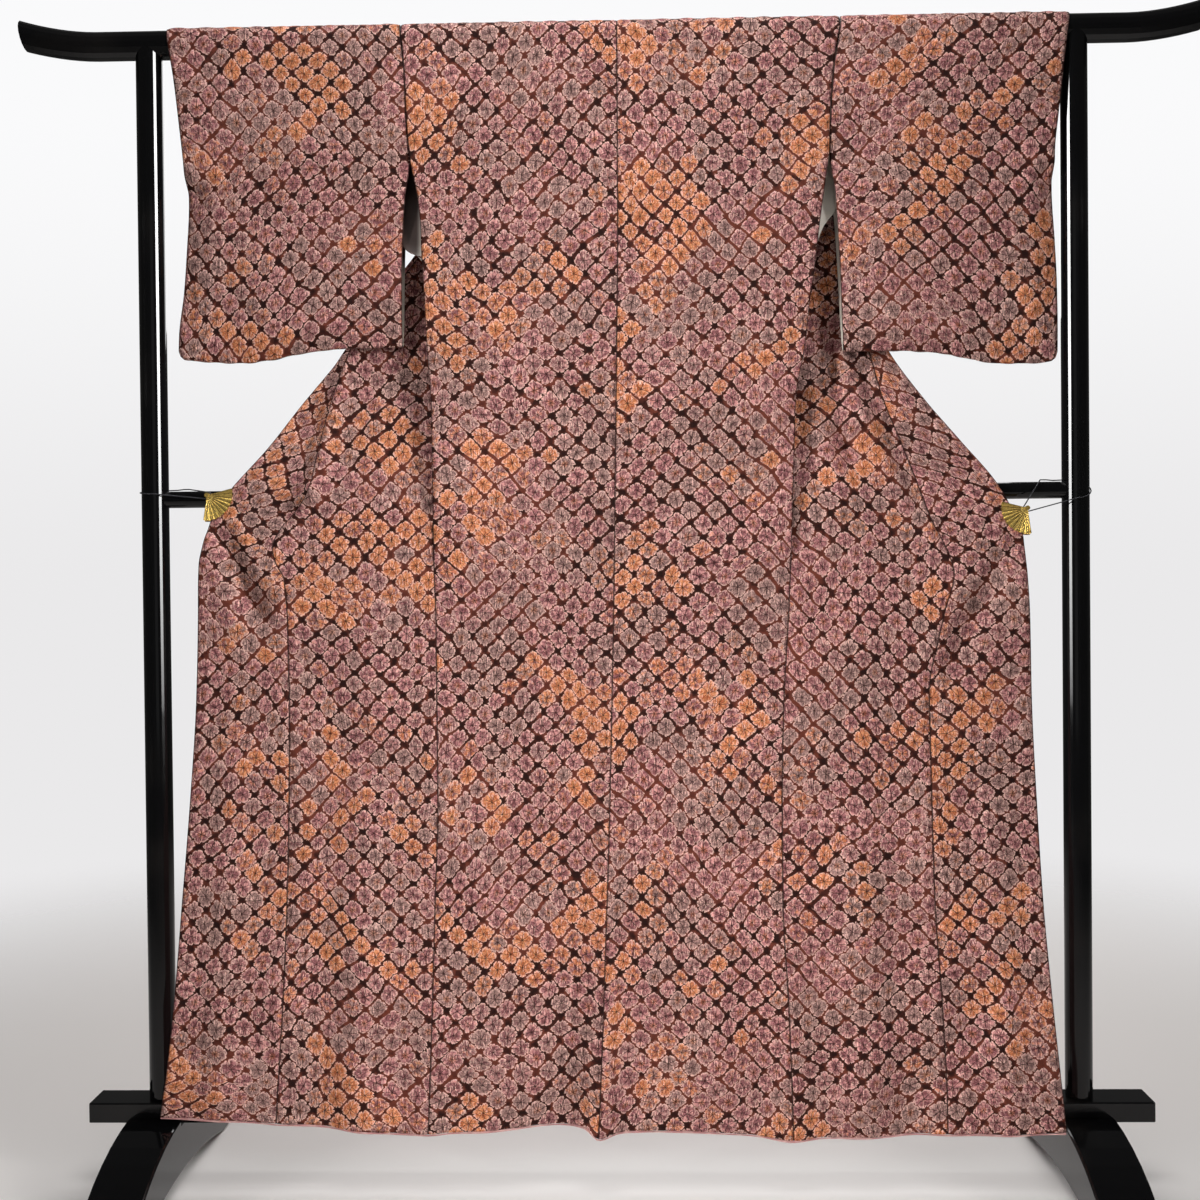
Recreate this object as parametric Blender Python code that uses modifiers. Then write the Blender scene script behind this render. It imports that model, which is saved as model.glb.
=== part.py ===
# A woman's lined kimono hung open on a lacquered kimono stand, with its back to the viewer.
# Metres, +Z up. The origin is on the floor under the middle of the stand. +X runs along the
# bar, and the kimono's back faces -Y. Distances out from the middle are positive on both sides.

import math
from bisect import bisect_right
from collections import namedtuple

import bmesh
import bpy
from mathutils import Matrix, Vector

# Driving dimensions of the stand
BAR_HEIGHT = 1.718
BAR_RADIUS = 0.021
BAR_HALF_LENGTH = 0.884
BAR_STRAIGHT_HALF = 0.77
BAR_END_RISE = 0.018
BAR_END_SLANT = math.radians(9)
POST_DISTANCE = 0.692
POST_RADIUS = 0.020
RAIL_HEIGHT = 1.033
RAIL_RADIUS = 0.0125
BOARD_LENGTH = 1.592
BOARD_DEPTH = 0.057
BOARD_THICKNESS = 0.030
BOARD_TOP = 0.125
FOOT_DISTANCE = 0.6955
FOOT_WIDTH = 0.081
FOOT_HALF_LENGTH = 0.245
FOOT_CROWN = 0.103
FOOT_ARCH_HEIGHT = 0.022
FOOT_PAD_START = 0.185
EDGE_ROUNDING = 0.003

# Driving dimensions of the cloth
WALL = 0.002
COLLAR_WALL = 0.003
SEAM_GAP = 0.0004
REST_GAP = 0.0003
LAYER_GAP = 0.00035
COLLAR_SPACE = 0.0016
COLLAR_REACH = 0.014
COLLAR_WIDTH = 0.055
COLLAR_END = 0.88
HEM_LEVEL = 0.085
NECK_TOP = 1.65
SIDE_SEAM_TOP = 1.385
CUFF_OPENING_BOTTOM = 1.49
NECK_OVERLAP = 0.008
HEM_ROLL_RADIUS = 0.0015
FOLD_RADIUS = 0.0045
FOLD_FORMS_OVER = 0.025
FLAP_TOP = 1.600
FLAP_FULL = 1.582
SLEEVE_EDGE_GAP = 0.007

# Driving dimensions of the clips and their cords
FAN_RADIUS = 0.039
FAN_BLADES = 10
FAN_THICKNESS = 0.0016
FAN_PLEAT = 0.0008
BARREL_RADIUS = 0.0035
BARREL_GAP = 0.0006
JAW_SPACE = 0.0004
CLIP_FLAT = 0.012
CORD_RADIUS = 0.0009

# Each clip's hub, the cloth's depth and lean there, and the start and sweep of its fan
Clip = namedtuple("Clip", "name sign hub_x hub_z cloth_y lean start sweep")
CLIPS = (
    Clip("left", -1, -0.6050, 1.0375, -0.0253, 0.115, math.radians(-97), math.radians(112)),
    Clip("right", 1, 0.6120, 1.0050, -0.0288, 0.105, math.radians(165), math.radians(112)),
)

# Radius of the middle of the cloth over the bar, where it is laid in a few flat steps
BAR_STEPS = 8
OVER_BAR = (BAR_RADIUS + REST_GAP + WALL / 2) / math.cos(math.pi / BAR_STEPS / 2)

# Where each layer hangs by height
Hang = namedtuple("Hang", "z back front near_sleeve far_sleeve")
HANG = (
    Hang(0.070, -0.0480, -0.0480, -0.0130, 0.0060),
    Hang(0.300, -0.0450, -0.0450, -0.0130, 0.0060),
    Hang(0.580, -0.0420, -0.0420, -0.0130, 0.0060),
    Hang(0.900, -0.0400, -0.0400, -0.0130, 0.0060),
    Hang(0.935, -0.0400, -0.0375, -0.0130, 0.0060),
    Hang(0.970, -0.0400, -0.0325, -0.0130, 0.0060),
    Hang(1.010, -0.0400, -0.0285, -0.0130, 0.0060),
    Hang(1.050, -0.0395, -0.0240, -0.0130, 0.0060),
    Hang(1.110, -0.0365, -0.0120, -0.0130, 0.0060),
    Hang(1.170, -0.0335, 0.0000, -0.0130, 0.0060),
    Hang(1.250, -0.0300, 0.0125, -0.0135, 0.0062),
    Hang(1.400, -0.0262, 0.0150, -0.0170, 0.0100),
    Hang(1.500, -0.0245, 0.0185, -0.0200, 0.0140),
    Hang(1.600, -0.0235, 0.0210, -0.0222, 0.0190),
    Hang(BAR_HEIGHT, -OVER_BAR, OVER_BAR, -OVER_BAR, OVER_BAR),
)

# The front's hidden part: its own side edge, and the fold that lies behind the back
Tuck = namedtuple("Tuck", "z side_y fold_y")
TUCK = (
    Tuck(0.935, -0.0377, -0.0360),
    Tuck(0.985, -0.0377, -0.0350),
    Tuck(1.040, -0.0374, -0.0325),
    Tuck(1.110, -0.0340, -0.0285),
    Tuck(1.170, -0.0310, -0.0245),
    Tuck(1.255, -0.0275, -0.0200),
    Tuck(1.310, -0.0260, -0.0165),
    Tuck(SIDE_SEAM_TOP, -0.0242, -0.0130),
    Tuck(1.400, -0.0130, -0.0110),
    Tuck(1.430, -0.0060, -0.0080),
    Tuck(1.480, 0.0010, -0.0020),
    Tuck(1.505, 0.0080, 0.0010),
    Tuck(1.520, 0.0115, 0.0035),
    Tuck(1.530, 0.0152, 0.0050),
    Tuck(FLAP_FULL, 0.0182, 0.0115),
    Tuck(FLAP_TOP, 0.0190, 0.0140),
    Tuck(1.660, 0.0212, 0.0200),
    Tuck(BAR_HEIGHT, OVER_BAR, OVER_BAR),
)

# Distances out from the middle at each height: the back's edge, the front's own side edge, the
# fold, the seam of the overlap and the front edge. Where the fold equals the side there is none.
Level = namedtuple("Level", "z back side fold okumi edge inner_z")
LEFT = (
    Level(0.085, 0.2794, 0.2794, 0.2794, 0.5064, 0.6780, 0.085),
    Level(0.130, 0.2776, 0.2776, 0.2776, 0.5048, 0.6742, 0.130),
    Level(0.280, 0.2720, 0.2720, 0.2720, 0.4952, 0.6580, 0.280),
    Level(0.430, 0.2668, 0.2668, 0.2668, 0.4877, 0.6450, 0.430),
    Level(0.580, 0.2616, 0.2616, 0.2616, 0.4835, 0.6320, 0.580),
    Level(0.730, 0.2618, 0.2618, 0.2618, 0.4815, 0.6210, 0.730),
    Level(0.850, 0.2619, 0.2619, 0.2619, 0.4828, 0.6170, 0.850),
    Level(0.910, 0.2635, 0.2635, 0.2635, 0.4870, 0.6162, 0.910),
    Level(0.935, 0.2640, 0.2640, 0.2640, 0.4985, 0.6155, 0.935),
    Level(0.960, 0.2645, 0.2645, 0.2645, 0.5045, 0.6110, 0.960),
    Level(0.985, 0.2648, 0.2648, 0.2648, 0.4945, 0.6040, 0.985),
    Level(1.010, 0.2650, 0.2650, 0.2540, 0.4725, 0.5940, 1.010),
    Level(1.040, 0.2652, 0.2652, 0.2425, 0.4490, 0.5745, 1.040),
    Level(1.110, 0.2660, 0.2660, 0.2305, 0.4360, 0.5150, 1.110),
    Level(1.170, 0.2669, 0.2669, 0.2175, 0.4225, 0.4700, 1.170),
    Level(1.255, 0.2725, 0.2725, 0.1975, 0.3950, 0.4040, 1.255),
    Level(1.310, 0.2752, 0.2752, 0.1850, 0.3550, 0.3630, 1.310),
    Level(1.362, 0.2777, 0.2777, 0.1710, 0.3180, 0.3260, 1.362),
    Level(SIDE_SEAM_TOP, 0.2792, 0.2792, 0.1680, 0.2995, 0.3075, SIDE_SEAM_TOP),
    Level(1.400, 0.2799, 0.3030, 0.1670, 0.2880, 0.2955, 1.400),
    Level(1.430, 0.2805, 0.3195, 0.1630, 0.2650, 0.2730, 1.430),
    Level(1.480, 0.2850, 0.3140, 0.1520, 0.2350, 0.2350, 1.480),
    Level(1.505, 0.2902, 0.3030, 0.1500, 0.2165, 0.2165, 1.505),
    Level(1.520, 0.2933, 0.2970, 0.1482, 0.2054, 0.2054, 1.520),
    Level(1.530, 0.2954, 0.2954, 0.1470, 0.1980, 0.1980, 1.530),
    Level(1.600, 0.3005, 0.3005, 0.1435, 0.1480, 0.1480, 1.600),
    Level(1.660, 0.3025, 0.3025, 0.1060, 0.1060, 0.1060, 1.660),
    Level(1.690, 0.3045, 0.3045, 0.0760, 0.0760, 0.0760, 1.692),
    Level(1.706, 0.3055, 0.3055, 0.0360, 0.0360, 0.0360, 1.709),
    Level(BAR_HEIGHT, 0.3075, 0.3075, -0.0138, -0.0138, -0.0138, BAR_HEIGHT),
)
RIGHT = (
    Level(0.085, 0.2583, 0.2583, 0.2583, 0.4847, 0.6535, 0.085),
    Level(0.130, 0.2575, 0.2575, 0.2575, 0.4845, 0.6507, 0.130),
    Level(0.280, 0.2532, 0.2532, 0.2532, 0.4785, 0.6379, 0.280),
    Level(0.430, 0.2466, 0.2466, 0.2466, 0.4695, 0.6266, 0.430),
    Level(0.580, 0.2471, 0.2471, 0.2471, 0.4665, 0.6196, 0.580),
    Level(0.730, 0.2515, 0.2515, 0.2515, 0.4645, 0.6137, 0.730),
    Level(0.850, 0.2590, 0.2590, 0.2590, 0.4856, 0.6122, 0.850),
    Level(0.910, 0.2620, 0.2620, 0.2620, 0.5014, 0.6090, 0.910),
    Level(0.935, 0.2635, 0.2635, 0.2635, 0.4965, 0.6070, 0.935),
    Level(0.960, 0.2647, 0.2647, 0.2555, 0.4850, 0.6055, 0.960),
    Level(0.985, 0.2658, 0.2658, 0.2520, 0.4722, 0.5980, 0.985),
    Level(1.010, 0.2665, 0.2665, 0.2500, 0.4636, 0.5873, 1.010),
    Level(1.040, 0.2675, 0.2675, 0.2455, 0.4537, 0.5710, 1.040),
    Level(1.110, 0.2708, 0.2708, 0.2355, 0.4300, 0.5160, 1.110),
    Level(1.170, 0.2735, 0.2735, 0.2260, 0.4086, 0.4690, 1.170),
    Level(1.255, 0.2886, 0.2886, 0.2225, 0.3860, 0.4130, 1.255),
    Level(1.310, 0.2952, 0.2952, 0.2090, 0.3660, 0.3880, 1.310),
    Level(1.362, 0.3030, 0.3030, 0.1945, 0.3520, 0.3710, 1.362),
    Level(SIDE_SEAM_TOP, 0.3058, 0.3058, 0.1940, 0.3470, 0.3650, SIDE_SEAM_TOP),
    Level(1.400, 0.3078, 0.3083, 0.1960, 0.3440, 0.3610, 1.400),
    Level(1.430, 0.3115, 0.3200, 0.1925, 0.3390, 0.3530, 1.430),
    Level(1.455, 0.3150, 0.3390, 0.1850, 0.3360, 0.3445, 1.455),
    Level(1.480, 0.3188, 0.3450, 0.1780, 0.3230, 0.3230, 1.480),
    Level(1.505, 0.3226, 0.3345, 0.1745, 0.2910, 0.2910, 1.505),
    Level(1.520, 0.3249, 0.3277, 0.1724, 0.2710, 0.2710, 1.520),
    Level(1.530, 0.3264, 0.3264, 0.1710, 0.2570, 0.2570, 1.530),
    Level(1.600, 0.3288, 0.3288, 0.1675, 0.1720, 0.1720, 1.600),
    Level(1.660, 0.3340, 0.3340, 0.1340, 0.1340, 0.1340, 1.660),
    Level(1.690, 0.3380, 0.3380, 0.1040, 0.1040, 0.1040, 1.692),
    Level(1.706, 0.3410, 0.3410, 0.0640, 0.0640, 0.0640, 1.709),
    Level(BAR_HEIGHT, 0.3435, 0.3435, 0.0142, 0.0142, 0.0142, BAR_HEIGHT),
)

# The centre back seam leans a little to the left on its way down
Centre = namedtuple("Centre", "z x")
CENTRE = (
    Centre(0.080, -0.0276),
    Centre(0.280, -0.0182),
    Centre(0.580, -0.0065),
    Centre(0.875, 0.0019),
    Centre(1.170, 0.0079),
    Centre(1.465, 0.0129),
    Centre(BAR_HEIGHT, 0.0140),
)

# Height of the hem along the bar's direction
Hem = namedtuple("Hem", "x z")
HEM = (
    Hem(-0.677, 0.1155),
    Hem(-0.508, 0.1035),
    Hem(-0.412, 0.0967),
    Hem(-0.321, 0.0886),
    Hem(-0.278, 0.0894),
    Hem(-0.204, 0.0921),
    Hem(-0.115, 0.0978),
    Hem(-0.048, 0.0970),
    Hem(-0.027, 0.0880),
    Hem(0.018, 0.0914),
    Hem(0.078, 0.0916),
    Hem(0.180, 0.0873),
    Hem(0.253, 0.0812),
    Hem(0.363, 0.0840),
    Hem(0.484, 0.0876),
    Hem(0.559, 0.0870),
    Hem(0.653, 0.0952),
)

# Folds of the hanging cloth. Each runs from its top to its foot, and stands out by rise.
Fold = namedtuple("Fold", "name top_x top_z foot_x foot_z top_width foot_width top_rise foot_rise")
FOLDS = (
    Fold("centre seam ridge", 0.000, 1.00, -0.027, 0.07, 0.018, 0.020, 0.003, 0.026),
    Fold("valley beside the seam", -0.055, 1.05, -0.085, 0.07, 0.035, 0.045, -0.002, -0.013),
    Fold("left back swell", -0.180, 1.00, -0.200, 0.07, 0.050, 0.050, 0.000, 0.004),
    Fold("left side seam ridge", -0.262, 0.60, -0.279, 0.07, 0.022, 0.025, 0.000, 0.009),
    Fold("right side seam ridge", 0.250, 0.75, 0.257, 0.07, 0.022, 0.028, 0.000, 0.012),
    Fold("left overlap seam", -0.484, 0.70, -0.506, 0.07, 0.030, 0.030, 0.000, 0.004),
    Fold("right overlap seam", 0.466, 0.70, 0.485, 0.07, 0.030, 0.030, 0.000, 0.005),
    Fold("left corner flare", -0.690, 0.60, -0.695, 0.07, 0.060, 0.060, 0.000, 0.010),
    Fold("right corner flare", 0.650, 0.60, 0.665, 0.07, 0.060, 0.060, 0.000, 0.019),
    Fold("left ridge over the seam", -0.398, 1.25, -0.443, 1.045, 0.014, 0.014, 0.007, 0.012),
    Fold("left ridge below", -0.447, 1.04, -0.505, 0.93, 0.014, 0.016, 0.007, 0.003),
    Fold("left hollow past the ridge", -0.424, 1.23, -0.484, 1.02, 0.020, 0.026, -0.003, -0.007),
    Fold("left fold from the clip", -0.580, 1.02, -0.527, 0.86, 0.013, 0.020, -0.005, -0.006),
    Fold("left lip from the clip", -0.605, 1.01, -0.560, 0.82, 0.014, 0.024, 0.003, 0.006),
    Fold("right ridge", 0.346, 1.245, 0.369, 1.14, 0.013, 0.014, 0.005, 0.012),
    Fold("right ridge below", 0.369, 1.14, 0.466, 0.970, 0.014, 0.018, 0.011, 0.008),
    Fold("right hollow past the ridge", 0.370, 1.24, 0.450, 1.01, 0.015, 0.020, -0.008, -0.014),
    Fold("right fold from the clip", 0.582, 1.01, 0.500, 0.76, 0.014, 0.024, -0.006, -0.010),
    Fold("right lip from the clip", 0.555, 1.01, 0.470, 0.80, 0.014, 0.022, 0.003, 0.006),
)
FOLD_FADE = 0.18

# The sleeves: outer edge and free inner edge by height, and the lower edge from inside to outside
SleeveEdge = namedtuple("SleeveEdge", "z left_inner left_outer right_inner right_outer")
SLEEVE_EDGES = (
    SleeveEdge(1.220, 0.3122, 0.6530, 0.3485, 0.6650),
    SleeveEdge(1.280, 0.3115, 0.6510, 0.3450, 0.6655),
    SleeveEdge(1.345, 0.3105, 0.6425, 0.3425, 0.6645),
    SleeveEdge(1.400, 0.3092, 0.6380, 0.3400, 0.6620),
    SleeveEdge(1.480, 0.3040, 0.6335, 0.3345, 0.6578),
    SleeveEdge(1.530, 0.2960, 0.6360, 0.3270, 0.6582),
    SleeveEdge(1.590, 0.3008, 0.6415, 0.3290, 0.6640),
    SleeveEdge(1.660, 0.3031, 0.6490, 0.3346, 0.6720),
    SleeveEdge(BAR_HEIGHT, 0.3081, 0.6580, 0.3441, 0.6790),
    SleeveEdge(1.740, 0.3106, 0.6610, 0.3461, 0.6830),
)
SleeveHem = namedtuple("SleeveHem", "share left right")
SLEEVE_HEM = (
    SleeveHem(0.00, 1.2590, 1.2440),
    SleeveHem(0.25, 1.2586, 1.2445),
    SleeveHem(0.45, 1.2520, 1.2400),
    SleeveHem(0.60, 1.2425, 1.2300),
    SleeveHem(0.72, 1.2390, 1.2235),
    SleeveHem(0.90, 1.2420, 1.2230),
    SleeveHem(0.97, 1.2455, 1.2255),
    SleeveHem(1.00, 1.2560, 1.2380),
)
SLEEVE_FOLDS = (
    Fold("left sleeve diagonal", -0.300, 1.38, -0.520, 1.22, 0.035, 0.040, 0.003, 0.005),
    Fold("right sleeve diagonal", 0.330, 1.37, 0.530, 1.20, 0.035, 0.040, 0.003, 0.005),
)

# Heights of the rows of points in the cloth
FRONT_ROWS = (
    1.706, 1.690, 1.660, FLAP_TOP, 1.594, 1.588, FLAP_FULL, 1.565, 1.530, 1.520, 1.505, 1.480,
    1.455, 1.430, 1.400, SIDE_SEAM_TOP, 1.362, 1.310, 1.283, 1.255, 1.212, 1.170, 1.140, 1.110,
    1.075, 1.040, 1.010, 0.985, 0.960, 0.935, 0.910, 0.850, 0.730, 0.580, 0.430, 0.280, 0.170,
)
OKUMI_ROWS = (1.455,) + tuple(z for z in FRONT_ROWS if z < 1.45)
BACK_ROWS = (
    1.660, 1.600, 1.530, 1.480, 1.430, 1.385, 1.310, 1.220, 1.110, 1.010, 0.910, 0.800, 0.680,
    0.560, 0.430, 0.300, 0.180,
)
SLEEVE_ROWS = (1.660, 1.600, 1.530, CUFF_OPENING_BOTTOM, 1.430, 1.370, 1.310, 1.270)
BODY_COLUMNS = 14
TURN_WEIGHT = 0.024
OKUMI_COLUMNS = 6
CENTRE_CROWDING = 1.25
SEAM_STRIP = 0.004

COLOURS = {
    "silk": (0.36, 0.16, 0.15),
    "collar silk": (0.40, 0.18, 0.17),
    "lining": (0.50, 0.26, 0.26),
    "lacquer": (0.006, 0.006, 0.007),
    "gold": (0.80, 0.58, 0.18),
    "cord": (0.012, 0.012, 0.014),
}

GroupColumn = namedtuple("GroupColumn", "keys values")
column_store = {}


# A smooth value from one column of a table, with no overshoot between its rows
def look_up(rows, column, at, key="z"):
    name = (id(rows), column)
    if name not in column_store:
        ordered = sorted(rows, key=lambda row: getattr(row, key))
        column_store[name] = GroupColumn(
            [getattr(row, key) for row in ordered], [getattr(row, column) for row in ordered]
        )
    keys, values = column_store[name]
    if at <= keys[0]:
        return values[0]
    if at >= keys[-1]:
        return values[-1]
    low = bisect_right(keys, at) - 1

    def secant(index):
        return (values[index + 1] - values[index]) / (keys[index + 1] - keys[index])

    def slope(index):
        if index == 0:
            return secant(0)
        if index == len(keys) - 1:
            return secant(index - 1)
        before, after = secant(index - 1), secant(index)
        return 0.0 if before * after <= 0 else 2 * before * after / (before + after)

    width = keys[low + 1] - keys[low]
    t = (at - keys[low]) / width
    return (
        values[low] * (1 + 2 * t) * (1 - t) ** 2
        + values[low + 1] * t * t * (3 - 2 * t)
        + slope(low) * width * t * (1 - t) ** 2
        - slope(low + 1) * width * t * t * (1 - t)
    )


def ease(t):
    t = min(max(t, 0.0), 1.0)
    return t * t * (3 - 2 * t)


# How far the folds stand out towards the viewer at one place
def relief(x, z, folds=FOLDS):
    total = 0.0
    for fold in folds:
        t = (fold.top_z - z) / (fold.top_z - fold.foot_z)
        if not -FOLD_FADE < t < 1 + FOLD_FADE:
            continue
        middle = fold.top_x + (fold.foot_x - fold.top_x) * t
        width = fold.top_width + (fold.foot_width - fold.top_width) * t
        rise = fold.top_rise + (fold.foot_rise - fold.top_rise) * min(max(t, 0.0), 1.0)
        fade = ease((t + FOLD_FADE) / FOLD_FADE) * ease((1 + FOLD_FADE - t) / FOLD_FADE)
        total += rise * fade * math.exp(-(((x - middle) / width) ** 2))
    return total


def back_depth(x, z):
    return look_up(HANG, "back", z) - relief(x, z)


# A clip holds the cloth flat, leaning as it leans at the clip's own height
def front_depth(x, z):
    y = look_up(HANG, "front", z) - relief(x, z)
    for clip in CLIPS:
        away = math.dist((x, z), (clip.hub_x, clip.hub_z))
        held = 1 - ease((away - FAN_RADIUS - CLIP_FLAT) / 0.02)
        if held > 0:
            y += (clip.cloth_y + clip.lean * (z - clip.hub_z) - y) * held
    return y


def centre_seam(z):
    return look_up(CENTRE, "x", z)


def hem_height(x):
    return look_up(HEM, "z", x, key="x")


# One side of the kimono: its sign along X, its table of levels and where its fold begins
class Side:
    def __init__(self, name, sign, levels, fold_foot):
        self.name = name
        self.sign = sign
        self.levels = levels
        self.fold_foot = fold_foot
        self.forming = tuple(fold_foot + FOLD_FORMS_OVER * share for share in (0.65, 0.35))

    def out(self, column, z):
        return look_up(self.levels, column, z)

    # The back's edge, which is straight between its rows of points
    def back_edge(self, z):
        rows = (HEM_LEVEL,) + BACK_ROWS[::-1]
        index = min(max(bisect_right(rows, z) - 1, 0), len(rows) - 2)
        t = (z - rows[index]) / (rows[index + 1] - rows[index])
        ends = []
        for row in rows[index:index + 2]:
            out = self.out("back", row)
            ends.append(Vector((out, back_depth(self.sign * out, row))))
        return ends[0].lerp(ends[1], t)

    # Where the front starts at its side edge: outside the back's edge by a seam's gap
    def front_start(self, z):
        if z > SIDE_SEAM_TOP:
            return self.out("side", z), look_up(TUCK, "side_y", z)
        out, y = self.back_edge(z)
        behind = (WALL + LAYER_GAP) * ease((z - 0.90) / 0.06)
        return out + SEAM_GAP, y + behind

    # How far the front has turned back on itself at its side edge, and at the neck
    def side_turn(self, z):
        return math.pi * min(max((z - self.fold_foot) / FOLD_FORMS_OVER, 0.0), 1.0)

    def neck_turn(self, z):
        return math.pi * min(max((FLAP_TOP - z) / (FLAP_TOP - FLAP_FULL), 0.0), 1.0)

    # The front's hidden start: its inner leg and the turn of its fold, from the side edge in
    def hidden_start(self, z):
        start = self.front_start(z)
        turned = self.side_turn(z)
        radius = FOLD_RADIUS
        if turned == 0:
            return [start]
        if turned < math.pi:
            centre = (start[0] + radius * math.sin(turned), start[1] - radius * math.cos(turned))
            first, last, path = math.pi - turned, math.pi, []
        else:
            fold_y = look_up(TUCK, "fold_y", z)
            centre = (self.out("fold", z) + radius, fold_y + radius)
            first, last, path = 0.0, self.neck_turn(z), [start]
        for step in range(9):
            angle = first + (last - first) * step / 8
            path.append(
                (centre[0] - radius * math.sin(angle), centre[1] - radius * math.cos(angle))
            )
        return path

    # Depth of the front from its fold outwards
    def outer_leg_depth(self, out, z):
        first_out, first_y = self.hidden_start(min(z, FLAP_FULL))[-1]
        if z > FLAP_FULL:
            first_y = look_up(HANG, "front", z)
        ramp = max(0.03, self.out("side", z) - self.out("fold", z) + 0.01)
        open_y = front_depth(self.sign * out, z)
        return first_y + (open_y - first_y) * ease((out - first_out) / ramp)

    # The front's section at one height, from the overlap's seam or the neck out to its side edge
    def front_row(self, z):
        okumi = self.out("okumi", z)
        if z >= FLAP_TOP:
            ends = [(okumi, look_up(TUCK, "fold_y", z)), self.front_start(z)]
            return share_out(ends, body_shares(ends))
        path = self.hidden_start(z)
        if z <= FLAP_FULL:
            first = path[-1][0]
            for step in range(1, 41):
                out = first + (okumi - first) * step / 40
                path.append((out, self.outer_leg_depth(out, z)))
        path.reverse()
        return share_out(path, body_shares(path))


LEFT_SIDE = Side("left", -1, LEFT, 0.985)
RIGHT_SIDE = Side("right", 1, RIGHT, 0.935)


def path_length(path):
    return sum(math.dist(a, b) for a, b in zip(path, path[1:]))


# Where the body's columns fall along a path: a narrow strip at each end for the seams, and
# between them evenly, but closer where the path turns
def body_shares(path):
    lengths, weights = [0.0], [0.0]
    for index, (a, b) in enumerate(zip(path, path[1:])):
        turn = 0.0
        if index + 2 < len(path):
            c = path[index + 2]
            heading = math.atan2(b[1] - a[1], b[0] - a[0])
            turn = abs(math.remainder(math.atan2(c[1] - b[1], c[0] - b[0]) - heading, math.tau))
        lengths.append(lengths[-1] + math.dist(a, b))
        weights.append(weights[-1] + math.dist(a, b) + TURN_WEIGHT * turn)
    whole = lengths[-1]
    strip = SEAM_STRIP / whole

    def length_at(weight):
        index = min(max(bisect_right(weights, weight) - 1, 0), len(weights) - 2)
        t = (weight - weights[index]) / (weights[index + 1] - weights[index])
        return (lengths[index] + (lengths[index + 1] - lengths[index]) * t) / whole

    inner = BODY_COLUMNS - 2
    shares = [0.0]
    for k in range(inner + 1):
        even = (k / inner) ** CENTRE_CROWDING
        shares.append(strip + (1 - 2 * strip) * length_at(even * weights[-1]))
    return shares + [1.0]


# Points at given shares of the length of a path
def share_out(path, shares):
    lengths = [0.0]
    for a, b in zip(path, path[1:]):
        lengths.append(lengths[-1] + math.dist(a, b))
    found = []
    for share in shares:
        want = share * lengths[-1]
        index = min(max(bisect_right(lengths, want) - 1, 0), len(path) - 2)
        width = lengths[index + 1] - lengths[index]
        t = 0.0 if width == 0 else (want - lengths[index]) / width
        found.append(tuple(p + (q - p) * t for p, q in zip(path[index], path[index + 1])))
    return found


def new_material(name, colour, roughness, metallic=0.0, coat=0.0):
    material = bpy.data.materials.new(name)
    material.use_nodes = True
    shader = material.node_tree.nodes["Principled BSDF"]
    shader.inputs["Base Color"].default_value = (*colour, 1.0)
    shader.inputs["Roughness"].default_value = roughness
    shader.inputs["Metallic"].default_value = metallic
    shader.inputs["Coat Weight"].default_value = coat
    material.diffuse_color = (*colour, 1.0)
    return material


def silk(name):
    return new_material(name, COLOURS["silk"], 0.75)


def lacquer(name):
    return new_material(name, COLOURS["lacquer"], 0.12, coat=1.0)


def put_in(collection, obj, material):
    collection.objects.link(obj)
    obj.data.materials.append(material)
    return obj


def object_from_bmesh(name, bm, material, collection, smooth_angle=35):
    bmesh.ops.recalc_face_normals(bm, faces=bm.faces)
    mesh = bpy.data.meshes.new(name)
    bm.to_mesh(mesh)
    bm.free()
    mesh.shade_smooth()
    mesh.set_sharp_from_angle(angle=math.radians(smooth_angle))
    return put_in(collection, bpy.data.objects.new(name, mesh), material)


def solidify(obj, thickness):
    wall = obj.modifiers.new("Wall", "SOLIDIFY")
    wall.thickness = thickness
    wall.offset = 0.0
    return obj


# A cloth wall through rows of points, each row from one edge to the other
def cloth_from_rows(name, rows, thickness, material, collection):
    bm = bmesh.new()
    grid = [[bm.verts.new(point) for point in row] for row in rows]
    for lower, upper in zip(grid, grid[1:]):
        for j in range(len(lower) - 1):
            bm.faces.new((lower[j], lower[j + 1], upper[j + 1], upper[j]))
    return solidify(object_from_bmesh(name, bm, material, collection, 60), thickness)


# The cloth is pressed flat for a narrow strip along each of its long seams
def flat_at_seams(row, at_side=True):
    row[1] = (row[1][0], row[0][1], row[1][2])
    if at_side:
        row[-2] = (row[-2][0], row[-1][1], row[-2][2])
    return row


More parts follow.
